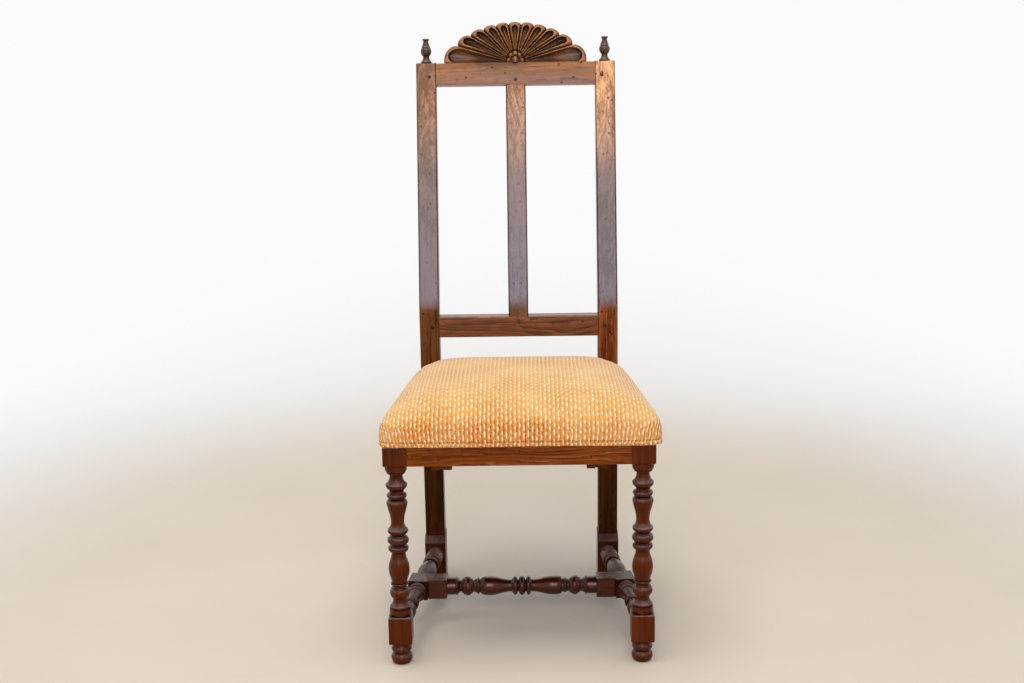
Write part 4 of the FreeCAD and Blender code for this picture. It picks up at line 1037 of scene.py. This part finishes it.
seat_points = seat_sheet(sheet_size, crown - start_drop, start_shrink)[0]
sheet_faces = grid_faces(sheet_size, sheet_size)
cushion = mesh_piece("seat_cushion", seat_points.reshape(-1, 3), sheet_faces, seat_cloth)
lay_cloth(cushion, cloth_map)
border = np.zeros((sheet_size, sheet_size), dtype=bool)
border[:2], border[-2:], border[:, :2], border[:, -2:] = True, True, True, True
moved = swell(cushion, np.flatnonzero(border.ravel()), swell_limit)
print("cloth moved up to", round(float(moved) * 1000, 1), "mm")
print("cushion sheet of", len(cushion.data.polygons), "faces")

# %% Tuck, close and fit round the posts
post_gap, post_round = 0.0008, 0.0015
post_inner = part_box("back_post_right")[0][0] + post_round
tuck_depth, tuck_reach, tuck_fade = 0.007, 0.009, 0.03


def tucked(points):
    """Lowers points near a post by the tuck depth times exp(-(distance / reach) squared)."""
    beside = np.clip(post_inner - np.abs(points[:, 0]), 0, None)
    before = np.clip(post_face - points[:, 1], 0, None)
    near = np.exp(-(np.hypot(beside, before) / tuck_reach) ** 2)
    lower = np.clip((points[:, 2] - seat_base) / tuck_fade, 0, 1)
    return points - np.stack([0 * near, 0 * near, tuck_depth * near * lower], axis=-1)


def applied(piece):
    """Replaces the piece's mesh by what its modifiers make of it."""
    shaped = piece.evaluated_get(bpy.context.evaluated_depsgraph_get())
    made = bpy.data.meshes.new_from_object(shaped)
    piece.modifiers.clear()
    piece.data = made


def close_below(opened):
    """Fills the open bottom of the sheet."""
    border_edges = [edge for edge in opened.edges if edge.is_boundary]
    bmesh.ops.holes_fill(opened, edges=border_edges, sides=0)
    face_outwards(opened)


smooth = cushion.modifiers.new("smooth", "SUBSURF")
smooth.levels = smooth.render_levels = 1
applied(cushion)
cushion.data.vertices.foreach_set("co", tucked(points_of(cushion.data)).ravel())
rework(cushion.data, close_below)

notch_corners = np.array([[x, y, z] for z in (0.40, 0.54) for y in (0, 0.1) for x in (0, 0.12)])
notch_faces = [(0, 1, 3, 2), (4, 6, 7, 5), (0, 4, 5, 1), (2, 3, 7, 6), (0, 2, 6, 4), (1, 5, 7, 3)]
for side in (-1, 1):
    place = notch_corners * (side, 1, 1) + (side * (post_inner - post_gap), post_face - post_gap, 0)
    notch = mesh_piece("notch", place, notch_faces, seat_cloth)
    notch.data.uv_layers.new(name="weave")
    cut = cushion.modifiers.new("cut", "BOOLEAN")
    cut.operation, cut.solver, cut.object = "DIFFERENCE", "EXACT", notch
    applied(cushion)
    bpy.data.objects.remove(notch)
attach(cushion, "root")
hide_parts("seat_cover", "seat_foam")
print("cushion:", len(cushion.data.polygons), "faces")

# %% [markdown]
# ## Piped edge
#
# The welt is a cord in a strip of the same chenille, sewn along the bottom edge at the front and
# the sides. A curve with a bevel would do, but the cloth needs its map, so it is a circle carried
# along the seat's own plan: up one side, across the front and back along the other, ending at the
# posts. The circle's size wanders a little, as a hand-sewn welt's does.

# %% Welt
welt_radius, welt_height, welt_reach = 0.0042, 0.4167, 0.9680
welt_steps, welt_sides, welt_gap, same_point = 420, 16, 0.0012, 1e-6
welt_end = post_face - welt_gap


def welt_tube():
    """Circle round the plan's edge: place + r (cos b outward + sin b up), r with a slow ripple."""
    t_end = (welt_end - seat_middle) / (seat_half_depth * welt_reach)
    run = np.linspace(0, 1, welt_steps)
    legs = np.array([t_end + 1, 2.0, t_end + 1])
    stop = np.concatenate([[0], np.cumsum(legs)]) / legs.sum()
    s = np.interp(run, stop, [-1, -1, 1, 1])
    t = np.interp(run, stop, [t_end, -1, -1, t_end])
    gauge = gauge_of(s, t, base_corner)
    y = seat_middle + seat_half_depth * t * welt_reach / gauge
    x = half_width_at(y) * s * welt_reach / gauge
    path = np.stack([x + seat_shift, y], axis=-1)
    ahead = np.gradient(path, axis=0)
    ahead /= np.linalg.norm(ahead, axis=1, keepdims=True)
    outward = np.stack([ahead[:, 1], -ahead[:, 0]], axis=-1)
    length = np.concatenate([[0], np.cumsum(np.linalg.norm(np.diff(path, axis=0), axis=1))])
    angle = np.linspace(0, 2 * math.pi, welt_sides + 1)
    ripple = 1 + 0.05 * np.sin(length * 310) + 0.04 * np.sin(length * 173 + 1.0)
    radius = welt_radius * ripple[:, None]
    flat = path[:, None, :] + outward[:, None, :] * (radius * np.cos(angle))[..., None]
    sag = 0.0004 * np.sin(length * 21)[:, None]
    tube = np.concatenate([flat, (welt_height + sag + radius * np.sin(angle))[..., None]], axis=-1)
    u, v = np.broadcast_arrays(length[:, None], welt_radius * angle[None, :])
    return tube, np.stack([u, v], axis=-1)


def sew_seam(opened):
    """Joins the first and the last point of each circle, which lie at one place."""
    bmesh.ops.remove_doubles(opened, verts=opened.verts, dist=same_point)


tube, tube_map = welt_tube()
tube_rows, tube_columns = tube.shape[:2]
tube_index = np.arange(tube_rows * tube_columns).reshape(tube_rows, tube_columns)
tube_faces = [*grid_faces(tube_rows, tube_columns), tube_index[0, :-1][::-1], tube_index[-1, :-1]]
welt = mesh_piece("seat_piping", tube.reshape(-1, 3), tube_faces, seat_cloth)
lay_cloth(welt, tube_map.reshape(-1, 2))
rework(welt.data, sew_seam)
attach(welt, "root")
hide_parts("seat_welt")
print("welt:", len(welt.data.polygons), "faces")
